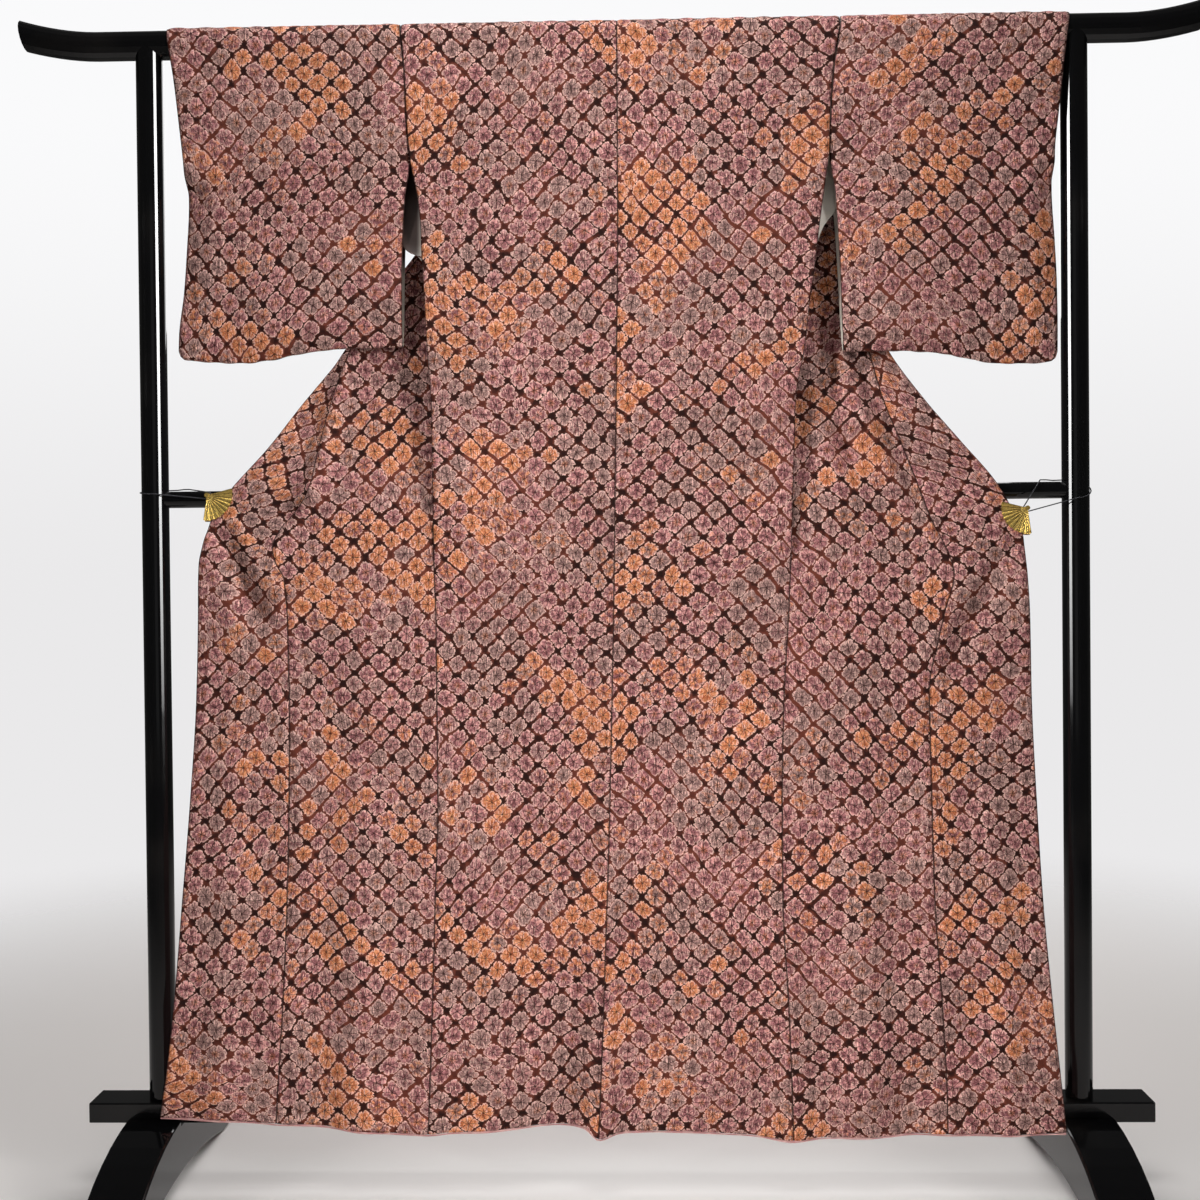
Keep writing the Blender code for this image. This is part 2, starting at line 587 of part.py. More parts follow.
def make_body(side, collection):
    rows = []

    # Half of the centre seam's gap is on this side
    def across_back(z, place):
        inner = centre_seam(z) + side.sign * SEAM_GAP / 2
        outer = side.sign * side.out("back", z)
        shares = body_shares([(inner, 0.0), (outer, 0.0)])
        return flat_at_seams([place(inner + (outer - inner) * share) for share in shares])

    rows.append(across_back(HEM_LEVEL, lambda x: (x, back_depth(x, HEM_LEVEL), hem_height(x))))
    for z in reversed(BACK_ROWS):
        rows.append(across_back(z, lambda x, z=z: (x, back_depth(x, z), z)))
    for step in range(BAR_STEPS):
        angle = math.pi * (1 - step / BAR_STEPS)
        y = OVER_BAR * math.cos(angle)
        z = BAR_HEIGHT + OVER_BAR * math.sin(angle)
        rows.append(across_back(BAR_HEIGHT, lambda x, y=y, z=z: (x, y, z)))

    # On the far side each row runs from the neck or the overlap's seam out to the side
    heights = (BAR_HEIGHT,) + FRONT_ROWS + side.forming + (HEM_LEVEL,)
    for z in sorted(heights, reverse=True):
        path = side.front_row(z)
        inner_z = side.out("inner_z", z)
        width = path[-1][0] - path[0][0]
        row = []
        for out, y in path:
            x = side.sign * out
            if z == BAR_HEIGHT and out == path[0][0]:
                x = centre_seam(z) + side.sign * SEAM_GAP / 2
            height = z if z < NECK_TOP else inner_z + (z - inner_z) * (out - path[0][0]) / width
            row.append((x, y, hem_height(x) if z == HEM_LEVEL else height))
        at_neck = FLAP_FULL < z < FLAP_TOP
        rows.append(row if at_neck else flat_at_seams(row, z not in side.forming))
    name = "body_" + side.name
    return cloth_from_rows(name, rows, WALL, silk(name), collection)


def make_okumi(side, collection):
    rows = []
    for z in sorted(OKUMI_ROWS + side.forming + (HEM_LEVEL,), reverse=True):
        inner = side.out("okumi", z) + SEAM_GAP
        outer = side.out("edge", z)
        strip = min(SEAM_STRIP, (outer - inner) / 3)
        places = [inner] + [
            inner + strip + (outer - inner - strip) * j / (OKUMI_COLUMNS - 1)
            for j in range(OKUMI_COLUMNS)
        ]
        row = []
        for out in places:
            x = side.sign * out
            height = hem_height(x) if z == HEM_LEVEL else z
            row.append((x, side.outer_leg_depth(out, z), height))
        row[1] = (row[1][0], row[0][1], row[1][2])
        rows.append(row)
    name = "okumi_" + side.name
    return cloth_from_rows(name, rows, WALL, silk(name), collection)


# The collar follows both front edges and the back of the neck, and hangs behind them
def make_collar(collection):
    line = []
    for side in (LEFT_SIDE, RIGHT_SIDE):
        heights = [z for z in FRONT_ROWS if z > COLLAR_END] + [COLLAR_END]
        half = [
            (side, side.sign * side.out("edge", z), side.out("inner_z", z), z) for z in heights
        ]
        line.append(half)
    middle = (LEFT_SIDE, centre_seam(BAR_HEIGHT), BAR_HEIGHT, BAR_HEIGHT)
    route = line[0][::-1] + [middle] + line[1]
    behind = (WALL + COLLAR_WALL) / 2 + COLLAR_SPACE
    rows = []
    for index, (side, x, inner_z, z) in enumerate(route):
        before = route[max(index - 1, 0)]
        after = route[min(index + 1, len(route) - 1)]
        along = Vector((after[1] - before[1], after[2] - before[2])).normalized()
        inward = Vector((along.y, -along.x))
        start = -NECK_OVERLAP * ease((z - 1.50) / 0.10) + 0.001
        row = []
        for step in range(4):
            move = start + (COLLAR_WIDTH - start) * step / 3
            place = Vector((x, inner_z)) + inward * move
            out = place.x * side.sign
            if z > NECK_TOP:
                y = OVER_BAR
            else:
                away = min(math.dist(place, (clip.hub_x, clip.hub_z)) for clip in CLIPS)
                reach = COLLAR_REACH * ease((away - FAN_RADIUS) / 0.03)
                near = (max(out + move, side.out("fold", z)) for move in (-reach, 0.0, reach))
                y = max(side.outer_leg_depth(each, place.y) for each in near)
            row.append((place.x, y + behind, place.y))
        rows.append(row)
    material = new_material("collar", COLOURS["collar silk"], 0.75)
    return cloth_from_rows("collar", rows, COLLAR_WALL, material, collection)


# A sleeve is one folded bag: open to the body, and at the cuff down to the cuff's lower end
def make_sleeve(side, collection):
    hem_column = side.name
    shares = (0.0, 0.13, 0.27, 0.41, 0.55, 0.69, 0.81, 0.91, 0.965, 1.0)

    def edge(kind, z):
        return look_up(SLEEVE_EDGES, side.name + "_" + kind, z)

    def point(share, z, layer):
        bottom = look_up(SLEEVE_HEM, hem_column, share, key="share")
        height = max(z, bottom)
        out = edge("inner", height) + (edge("outer", height) - edge("inner", height)) * share
        x = side.sign * out
        near = look_up(HANG, "near_sleeve", height)
        far = look_up(HANG, "far_sleeve", height)
        if layer == "near":
            near -= relief(x, height, SLEEVE_FOLDS)
        middle = (near + far) / 2
        half = (far - near) / 2
        closing = ease((0.030 - (height - bottom)) / 0.030)
        if height < CUFF_OPENING_BOTTOM + 0.03:
            sewn = ease((CUFF_OPENING_BOTTOM + 0.03 - height) / 0.03)
            closing = max(closing, sewn * ease((share - 0.86) / 0.14))
        half += (SLEEVE_EDGE_GAP / 2 - half) * closing
        return (x, middle + (half if layer == "far" else -half), height)

    levels = (0.0,) + tuple(reversed(SLEEVE_ROWS))
    loop = [[point(share, z, "near") for share in shares] for z in levels]
    for step in range(BAR_STEPS + 1):
        angle = math.pi * (1 - step / BAR_STEPS)
        y = OVER_BAR * math.cos(angle)
        z = BAR_HEIGHT + OVER_BAR * math.sin(angle)
        inner, outer = edge("inner", z), edge("outer", z)
        loop.append([(side.sign * (inner + (outer - inner) * share), y, z) for share in shares])
    loop += [[point(share, z, "far") for share in shares] for z in reversed(levels)]

    bm = bmesh.new()
    grid = [[bm.verts.new(co) for co in row] for row in loop]
    count = len(grid)
    for i in range(count):
        lower, upper = grid[i], grid[(i + 1) % count]
        for j in range(len(shares) - 1):
            bm.faces.new((lower[j], lower[j + 1], upper[j + 1], upper[j]))
    sewn_levels = sum(1 for z in levels if z <= CUFF_OPENING_BOTTOM)
    for i in range(sewn_levels - 1):
        bm.faces.new((grid[i][-1], grid[count - 1 - i][-1], grid[count - 2 - i][-1], grid[i + 1][-1]))
    name = "sleeve_" + side.name
    return solidify(object_from_bmesh(name, bm, silk(name), collection, 60), WALL)


def make_tube(name, points, radius, material, collection, bevel_resolution=2, closed=False):
    curve = bpy.data.curves.new(name, "CURVE")
    curve.dimensions = "3D"
    curve.bevel_depth = radius
    curve.bevel_resolution = bevel_resolution
    curve.use_fill_caps = True
    spline = curve.splines.new("POLY")
    spline.points.add(len(points) - 1)
    for place, point in zip(spline.points, points):
        place.co = (*point, 1.0)
    spline.use_smooth = True
    spline.use_cyclic_u = closed
    return put_in(collection, bpy.data.objects.new(name, curve), material)


# A curve object becomes a mesh with its caps welded on, so that a Boolean can cut it
def tube_to_mesh(tube):
    graph = bpy.context.evaluated_depsgraph_get()
    mesh = bpy.data.meshes.new_from_object(tube.evaluated_get(graph))
    name = tube.name
    collection = tube.users_collection[0]
    matrix = tube.matrix_world.copy()
    bpy.data.objects.remove(tube)
    bm = bmesh.new()
    bm.from_mesh(mesh)
    bmesh.ops.remove_doubles(bm, verts=bm.verts, dist=1e-6)
    bm.to_mesh(mesh)
    bm.free()
    mesh.name = name
    mesh.shade_smooth()
    mesh.set_sharp_from_angle(angle=math.radians(35))
    obj = bpy.data.objects.new(name, mesh)
    obj.matrix_world = matrix
    collection.objects.link(obj)
    return obj


def make_hem_roll(collection):
    left = -LEFT_SIDE.out("edge", HEM_LEVEL) + 0.001
    right = RIGHT_SIDE.out("edge", HEM_LEVEL) - 0.001
    count = 46
    points = []
    for step in range(count + 1):
        x = left + (right - left) * step / count
        below = HEM_ROLL_RADIUS + 2 * REST_GAP
        points.append((x, back_depth(x, HEM_LEVEL), hem_height(x) - below))
    material = new_material("hem_roll", COLOURS["lining"], 0.7)
    return make_tube("hem_roll", points, HEM_ROLL_RADIUS, material, collection, 1)


def cylinder_between(name, start, end, radius, segments, collection, material=None):
    start, end = Vector(start), Vector(end)
    bm = bmesh.new()
    bmesh.ops.create_cone(
        bm, cap_ends=True, segments=segments, radius1=radius, radius2=radius,
        depth=(end - start).length,
    )
    turn = Vector((0, 0, 1)).rotation_difference(end - start).to_matrix().to_4x4()
    bmesh.ops.transform(bm, matrix=Matrix.Translation((start + end) / 2) @ turn, verts=bm.verts)
    material = material or new_material(name, COLOURS["lacquer"], 0.3)
    return object_from_bmesh(name, bm, material, collection)


def cut(obj, cutter):
    cutter.hide_render = True
    cutter.display_type = "WIRE"
    boolean = obj.modifiers.new("Cut", "BOOLEAN")
    boolean.operation = "DIFFERENCE"
    boolean.object = cutter
    return obj


def join(obj, other):
    other.hide_render = True
    other.display_type = "WIRE"
    boolean = obj.modifiers.new("Join", "BOOLEAN")
    boolean.operation = "UNION"
    boolean.object = other
    return obj


def make_box(name, size, centre, material, collection, rounding=0.0, turn=None):
    bm = bmesh.new()
    bmesh.ops.create_cube(bm, size=1.0)
    shape = Matrix.Diagonal((*size, 1.0))
    place = Matrix.Translation(centre) @ (turn or Matrix.Identity(4))
    bmesh.ops.transform(bm, matrix=place @ shape, verts=bm.verts)
    box = object_from_bmesh(name, bm, material, collection)
    if rounding:
        round_edges(box, rounding)
    return box


def round_edges(obj, width, segments=2):
    bevel = obj.modifiers.new("Rounded edges", "BEVEL")
    bevel.width = width
    bevel.segments = segments
    bevel.limit_method = "ANGLE"
    bevel.angle_limit = math.radians(50)


# The bar is straight over the posts, and its ends sweep up and are cut on a slant
def make_bar(collection, cutters):
    past_end = 0.02
    sweep = BAR_HALF_LENGTH - BAR_STRAIGHT_HALF
    outer = [BAR_STRAIGHT_HALF + (sweep + past_end) * step / 9 for step in range(10)]
    places = [-x for x in reversed(outer)] + outer

    def height(x):
        return BAR_HEIGHT + BAR_END_RISE * (max(abs(x) - BAR_STRAIGHT_HALF, 0) / sweep) ** 1.8

    bar = tube_to_mesh(
        make_tube("top_bar", [(x, 0, height(x)) for x in places], BAR_RADIUS,
                  lacquer("top_bar"), collection, 6)
    )
    for sign in (-1, 1):
        size = 0.12
        lean = Matrix.Rotation(sign * BAR_END_SLANT, 4, "Y")
        reach = BAR_HALF_LENGTH + size / 2 * math.cos(BAR_END_SLANT)
        centre = Vector((sign * reach, 0, height(BAR_HALF_LENGTH)))
        side_name = "left" if sign < 0 else "right"
        cutter = make_box("bar_end_cutter_" + side_name, (size, size, size), centre,
                          new_material("cutter", COLOURS["cord"], 1.0), cutters, turn=lean)
        cut(bar, cutter)
    return bar


# A post stands on the board, and its top is hollowed to take the bar
def make_post(side, collection, cutters):
    x = side.sign * POST_DISTANCE
    post = cylinder_between(
        "post_" + side.name, (x, 0, BOARD_TOP + REST_GAP), (x, 0, BAR_HEIGHT), POST_RADIUS,
        32, collection, lacquer("post_" + side.name),
    )
    reach = Vector((0.06, 0, 0))
    seat = cylinder_between(
        "post_seat_cutter_" + side.name, Vector((x, 0, BAR_HEIGHT)) - reach,
        Vector((x, 0, BAR_HEIGHT)) + reach, BAR_RADIUS + REST_GAP, 48, cutters,
    )
    return cut(post, seat)


def make_rail(collection, cutters):
    rail = cylinder_between(
        "mid_rail", (-POST_DISTANCE, 0, RAIL_HEIGHT), (POST_DISTANCE, 0, RAIL_HEIGHT),
        RAIL_RADIUS, 24, collection, lacquer("mid_rail"),
    )
    for side in (LEFT_SIDE, RIGHT_SIDE):
        x = side.sign * POST_DISTANCE
        cutter = cylinder_between(
            "rail_end_cutter_" + side.name, (x, 0, RAIL_HEIGHT - 0.05), (x, 0, RAIL_HEIGHT + 0.05),
            POST_RADIUS + REST_GAP, 48, cutters,
        )
        cut(rail, cutter)
    return rail


# Half of the foot's outline, from the middle of its top round to the middle of its arch
def foot_outline():
    seat = BOARD_DEPTH / 2 + REST_GAP
    seat_z = BOARD_TOP - BOARD_THICKNESS - REST_GAP
    half = [(0.0, seat_z), (seat, seat_z)]
    steps = 9
    last = math.acos(seat / FOOT_HALF_LENGTH)
    for step in range(steps + 1):
        y = FOOT_HALF_LENGTH * math.cos(last * (1 - step / steps))
        half.append((y, FOOT_CROWN * (1 - (y / FOOT_HALF_LENGTH) ** 2) ** 0.75))
    half.append((FOOT_PAD_START, 0.0))
    for step in range(5, -1, -1):
        y = FOOT_PAD_START * step / 6
        half.append((y, FOOT_ARCH_HEIGHT * (1 - (y / FOOT_PAD_START) ** 2)))
    mirrored = [(-y, z) for y, z in reversed(half) if y > 0]
    return half + mirrored


def make_foot(side, collection):
    name = "foot_" + side.name
    bm = bmesh.new()
    x = side.sign * FOOT_DISTANCE - FOOT_WIDTH / 2
    ring = [bm.verts.new((x, y, z)) for y, z in foot_outline()]
    face = bm.faces.new(ring)
    pushed = bmesh.ops.extrude_face_region(bm, geom=[face])
    moved = [item for item in pushed["geom"] if isinstance(item, bmesh.types.BMVert)]
    bmesh.ops.translate(bm, verts=moved, vec=(FOOT_WIDTH, 0, 0))
    foot = object_from_bmesh(name, bm, lacquer(name), collection)
    round_edges(foot, EDGE_ROUNDING)
    return foot


# A sector plate from its hub out to its rim, pleated on its outer face
def sector(name, hub, start, sweep, y_inner, y_outer, pleat, material, collection):
    bm = bmesh.new()
    count = 2 * FAN_BLADES
    rings = []
    for step in range(count + 1):
        angle = start + sweep * step / count
        lift = pleat * (1 if step % 2 else -1)
        direction = Vector((math.cos(angle), 0, math.sin(angle)))
        rim = FAN_RADIUS - (0.0012 if step % 2 == 0 and pleat else 0.0)
        near, far = hub + direction * BARREL_RADIUS * 0.8, hub + direction * rim
        rings.append([
            bm.verts.new((near.x, y_outer, near.z)),
            bm.verts.new((far.x, y_outer - lift, far.z)),
            bm.verts.new((far.x, y_inner, far.z)),
            bm.verts.new((near.x, y_inner, near.z)),
        ])
    for a, b in zip(rings, rings[1:]):
        for j in range(4):
            k = (j + 1) % 4
            bm.faces.new((a[j], a[k], b[k], b[j]))
    bm.faces.new(rings[0])
    bm.faces.new(rings[-1][::-1])
    bmesh.ops.triangulate(bm, faces=bm.faces)
    return object_from_bmesh(name, bm, material, collection)


# The jaws' inner faces, clear of the cloth in front and of the collar behind it
def jaw_faces(clip):
    front_face = clip.cloth_y - WALL / 2 - JAW_SPACE
    rear_face = clip.cloth_y + WALL / 2 + COLLAR_SPACE + COLLAR_WALL + JAW_SPACE
    return front_face, rear_face


# The fan and the plain plate behind the cloth meet at a barrel outside the cloth's edge
def make_clip(clip, collection, cutters):
    name = "clip_" + clip.name
    front_face, rear_face = jaw_faces(clip)
    hub = Vector((clip.hub_x, 0, clip.hub_z))
    gold = new_material(name, COLOURS["gold"], 0.3, metallic=1.0)
    fan = sector(name, hub, clip.start, clip.sweep, front_face, front_face - FAN_THICKNESS,
                 FAN_PLEAT, gold, collection)
    plate = sector(name + "_plate", hub, clip.start, clip.sweep, rear_face,
                   rear_face + FAN_THICKNESS / 2, 0.0, gold, cutters)
    barrel = cylinder_between(
        name + "_barrel", (hub.x, front_face - FAN_THICKNESS - 0.001, hub.z),
        (hub.x, rear_face + FAN_THICKNESS / 2 + 0.0004, hub.z), BARREL_RADIUS, 16, cutters, gold,
    )
    pivot = Matrix.Translation((clip.hub_x, clip.cloth_y, clip.hub_z))
    lean = pivot @ Matrix.Rotation(-math.atan(clip.lean), 4, "X") @ pivot.inverted()
    for piece in (fan, plate, barrel):
        piece.data.transform(lean)
    join(fan, barrel)
    join(fan, plate)
    return fan


# The cord is a loop: round the barrel between the jaws, past the front of the post, round it,
# and back over the rail
def make_clip_cord(clip, collection):
    name = "clip_cord_" + clip.name
    middle = sum(jaw_faces(clip)) / 2
    hook = BARREL_RADIUS + CORD_RADIUS + BARREL_GAP
    wrap = POST_RADIUS + CORD_RADIUS + 0.0010
    over_rail = RAIL_HEIGHT + RAIL_RADIUS + CORD_RADIUS + 0.0012
    rise = over_rail - clip.hub_z
    hub_out = abs(clip.hub_x)
    round_post = [
        (
            POST_DISTANCE + wrap * math.cos(math.radians(degrees)),
            wrap * math.sin(math.radians(degrees)),
            clip.hub_z + rise * (0.35 + 0.70 * ease((degrees + 100) / 200)),
        )
        for degrees in range(-100, 101, 20)
    ]
    round_rail = [
        (POST_DISTANCE - 0.030, 0.0125, over_rail + 0.0006),
        (POST_DISTANCE - 0.044, 0.0, over_rail + 0.0008),
        (POST_DISTANCE - 0.056, -0.0125, over_rail),
    ]

    # Where a straight strand to a far point leaves the barrel
    def leaving_angle(far, turn):
        across, up = far[0] - hub_out, far[2] - clip.hub_z
        return math.atan2(up, across) + turn * math.acos(hook / math.hypot(across, up))

    upper = leaving_angle(round_rail[-1], 1)
    lower = leaving_angle(round_post[0], -1) + 2 * math.pi
    round_barrel = []
    for step in range(9):
        angle = upper + (lower - upper) * step / 8
        round_barrel.append(
            (hub_out + hook * math.cos(angle), middle, clip.hub_z + hook * math.sin(angle))
        )
    points = [(clip.sign * out, y, z) for out, y, z in round_barrel + round_post + round_rail]
    material = new_material(name, COLOURS["cord"], 0.6)
    return make_tube(name, points, CORD_RADIUS, material, collection, 2, True)


def clear_scene():
    for obj in list(bpy.data.objects):
        bpy.data.objects.remove(obj)


def main():
    clear_scene()
    parts = bpy.data.collections.new("kimono on a stand")
    cutters = bpy.data.collections.new("cutters")
    cutters.hide_render = True
    for collection in (parts, cutters):
        bpy.context.scene.collection.children.link(collection)
    for side in (LEFT_SIDE, RIGHT_SIDE):
        make_body(side, parts)
        make_okumi(side, parts)
        make_sleeve(side, parts)
        make_post(side, parts, cutters)
        make_foot(side, parts)
    make_collar(parts)
    make_hem_roll(parts)
    make_bar(parts, cutters)
    make_rail(parts, cutters)
    board_centre = (0, 0, BOARD_TOP - BOARD_THICKNESS / 2)
    make_box("base_board", (BOARD_LENGTH, BOARD_DEPTH, BOARD_THICKNESS), board_centre,
             lacquer("base_board"), parts, 0.002)
    for clip in CLIPS:
        make_clip(clip, parts, cutters)
        make_clip_cord(clip, parts)


main()
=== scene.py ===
from bisect import bisect_right
from collections import namedtuple
from math import cos, dist, exp, pi, radians, sin, sqrt, tau

import bpy
import numpy as np
from mathutils import Matrix, Vector


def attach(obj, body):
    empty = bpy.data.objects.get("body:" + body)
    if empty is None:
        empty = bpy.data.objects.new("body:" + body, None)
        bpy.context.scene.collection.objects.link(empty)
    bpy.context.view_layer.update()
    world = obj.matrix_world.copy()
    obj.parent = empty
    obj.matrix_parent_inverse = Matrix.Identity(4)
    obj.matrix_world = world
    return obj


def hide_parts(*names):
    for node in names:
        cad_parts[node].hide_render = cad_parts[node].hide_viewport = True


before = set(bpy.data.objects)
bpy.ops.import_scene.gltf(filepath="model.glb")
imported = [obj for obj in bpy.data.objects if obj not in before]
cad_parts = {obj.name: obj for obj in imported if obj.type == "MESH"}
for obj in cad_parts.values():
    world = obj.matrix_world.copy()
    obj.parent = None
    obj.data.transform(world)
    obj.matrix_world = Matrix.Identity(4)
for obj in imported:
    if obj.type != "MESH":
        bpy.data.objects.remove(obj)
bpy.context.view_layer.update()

print("frame loaded")

cameraView = {
    "place": (0.0303, -2.1, 0.9009),
    "yaw": radians(-1.3569),
    "pitch": radians(0.7008),
    "roll": radians(-0.5554),
    "focalPixels": 1395.11,
    "pictureWidth": 1200,
    "sensorWidth": 36.0,
    "sight": 60,
}


def addObject(name, data):
    made = bpy.data.objects.new(name, data)
    bpy.context.scene.collection.objects.link(made)
    return made


def makeCamera(view):
    yaw, pitch, roll = view["yaw"], view["pitch"], view["roll"]
    level = cos(pitch)
    ahead = Vector((sin(yaw) * level, cos(yaw) * level, -sin(pitch)))
    across = Vector((cos(yaw), -sin(yaw), 0))
    upward = across.cross(ahead)
    rolledAcross = across * cos(roll) + upward * sin(roll)
    rolledUp = upward * cos(roll) - across * sin(roll)
    data = bpy.data.cameras.new("photoCamera")
    data.sensor_width = view["sensorWidth"]
    data.lens = view["focalPixels"] / view["pictureWidth"] * view["sensorWidth"]
    data.clip_end = view["sight"]
    camera = addObject("photoCamera", data)
    axes = Matrix((rolledAcross, rolledUp, -ahead)).transposed().to_4x4()
    camera.matrix_world = Matrix.Translation(view["place"]) @ axes
    bpy.context.scene.camera = camera


makeCamera(cameraView)
print("camera placed")


# a node's output, so that shader maths reads as plain sums
class Wire:
    def __init__(self, finish, socket):
        self.maths, self.socket = finish.maths, socket

    def __add__(self, other): return self.maths("ADD", self, other)
    def __radd__(self, other): return self.maths("ADD", other, self)
    def __sub__(self, other): return self.maths("SUBTRACT", self, other)
    def __rsub__(self, other): return self.maths("SUBTRACT", other, self)
    def __mul__(self, other): return self.maths("MULTIPLY", self, other)
    def __rmul__(self, other): return self.maths("MULTIPLY", other, self)
    def __truediv__(self, other): return self.maths("DIVIDE", self, other)
    def __rtruediv__(self, other): return self.maths("DIVIDE", other, self)
    def __pow__(self, other): return self.maths("POWER", self, other)
    def __neg__(self): return self.maths("MULTIPLY", self, -1.0)
    def __abs__(self): return self.maths("ABSOLUTE", self)


# one material, whose nodes all come from the method node
class Finish:
    def __init__(self, name, surface=None):
        self.material = surface or bpy.data.materials.new(name)
        if surface is None:
            self.material.use_nodes = True
        self.tree = self.material.node_tree
        self.tree.nodes.clear()

    def node(self, kind, settings, sockets, out=0):
        made = self.tree.nodes.new("ShaderNode" + kind)
        for name, value in settings.items():
            setattr(made, name, value)
        for key, value in sockets.items():
            if isinstance(value, Wire):
                self.tree.links.new(value.socket, made.inputs[key])
            else:
                made.inputs[key].default_value = tint(value) if isinstance(value, str) else value
        return Wire(self, made.outputs[out]) if len(made.outputs) else None

    def maths(self, operation, *values):
        return self.node("Math", {"operation": operation}, dict(enumerate(values)))

    def most(self, first, *others):
        for other in others:
            first = self.maths("MAXIMUM", first, other)
        return first

    def other(self, wire, name):
        return Wire(self, wire.socket.node.outputs[name])

    def smooth(self, value, low, high):
        return self.node(
            "MapRange", {"interpolation_type": "SMOOTHSTEP"},
            {"Value": value, "From Min": low, "From Max": high},
        )

    def mix(self, share, first, second):
        return self.node(
            "Mix", {"data_type": "RGBA", "clamp_factor": True}, {0: share, 6: first, 7: second}, 2
        )

    def shade(self, colour, amount):
        return self.node("VectorMath", {"operation": "SCALE"}, {0: colour, "Scale": amount})

    def noise(self, place, scale, detail):
        return self.node("TexNoise", {}, {"Vector": place, "Scale": scale, "Detail": detail})

    def point(self, x, y):
        return self.node("CombineXYZ", {}, {0: x, 1: y})

    def apart(self, vector):
        first = self.node("SeparateXYZ", {}, {0: vector})
        return first, self.other(first, "Y"), self.other(first, "Z")

    # where a point lies on its object, in metres
    def place(self):
        return self.node("TexCoord", {}, {}, 3)

    def bump(self, height, distance, strength):
        return self.node("Bump", {}, {"Height": height, "Distance": distance, "Strength": strength})

    def surface(self, colour, roughness, normal, others=()):
        sockets = {"Base Color": colour, "Roughness": roughness, "Normal": normal, **dict(others)}
        self.node("OutputMaterial", {}, {0: self.node("BsdfPrincipled", {}, sockets)})
        return self.material


# a colour from a chart, as the shader wants it
def tint(chart):
    parts = [int(chart[i:i + 2], 16) / 255 for i in (1, 3, 5)]
    linear = (p / 12.92 if p <= 0.04045 else ((p + 0.055) / 1.055) ** 2.4 for p in parts)
    return *linear, 1.0


# the tied and dyed silk: rosettes of six to eight petals on a slanted lattice
dyedSilk = {
    "cell": 0.0265,  # from one rosette to the next along the slant
    "ground": "#3a1811",
    "groundWarm": "#6e3629",
    "groundDeep": "#160806",
    "mauve": "#b07376",
    "mauveLight": "#d79792",
    "mauveDark": "#774547",
    "grey": "#765c58",
    "greyLight": "#b29086",
    "orange": "#c4683c",
    "orangeLight": "#eba06e",
    "outline": "#f9cdbe",
    "crease": "#2e110c",
    "seam": "#2a1310",
    "radius": 0.492,  # of a rosette, in cells
    "diagonal": 0.70711,  # half the root of two
    "slantPull": 0.50,  # how far the lattice strays, widely and closely
    "slantWobble": 0.16,
    "scatter": 0.09,  # how far a rosette sits from its place
    "petals": 6.0,  # at least, and up to two more
    "petalDepth": 0.105,
    "pucker": 0.0012,  # how far a rosette stands out, in metres
    "fineStray": 0.0026,
    "wideStray": 0.006,
    "roughness": 0.72,
    "gloss": 0.12,
}


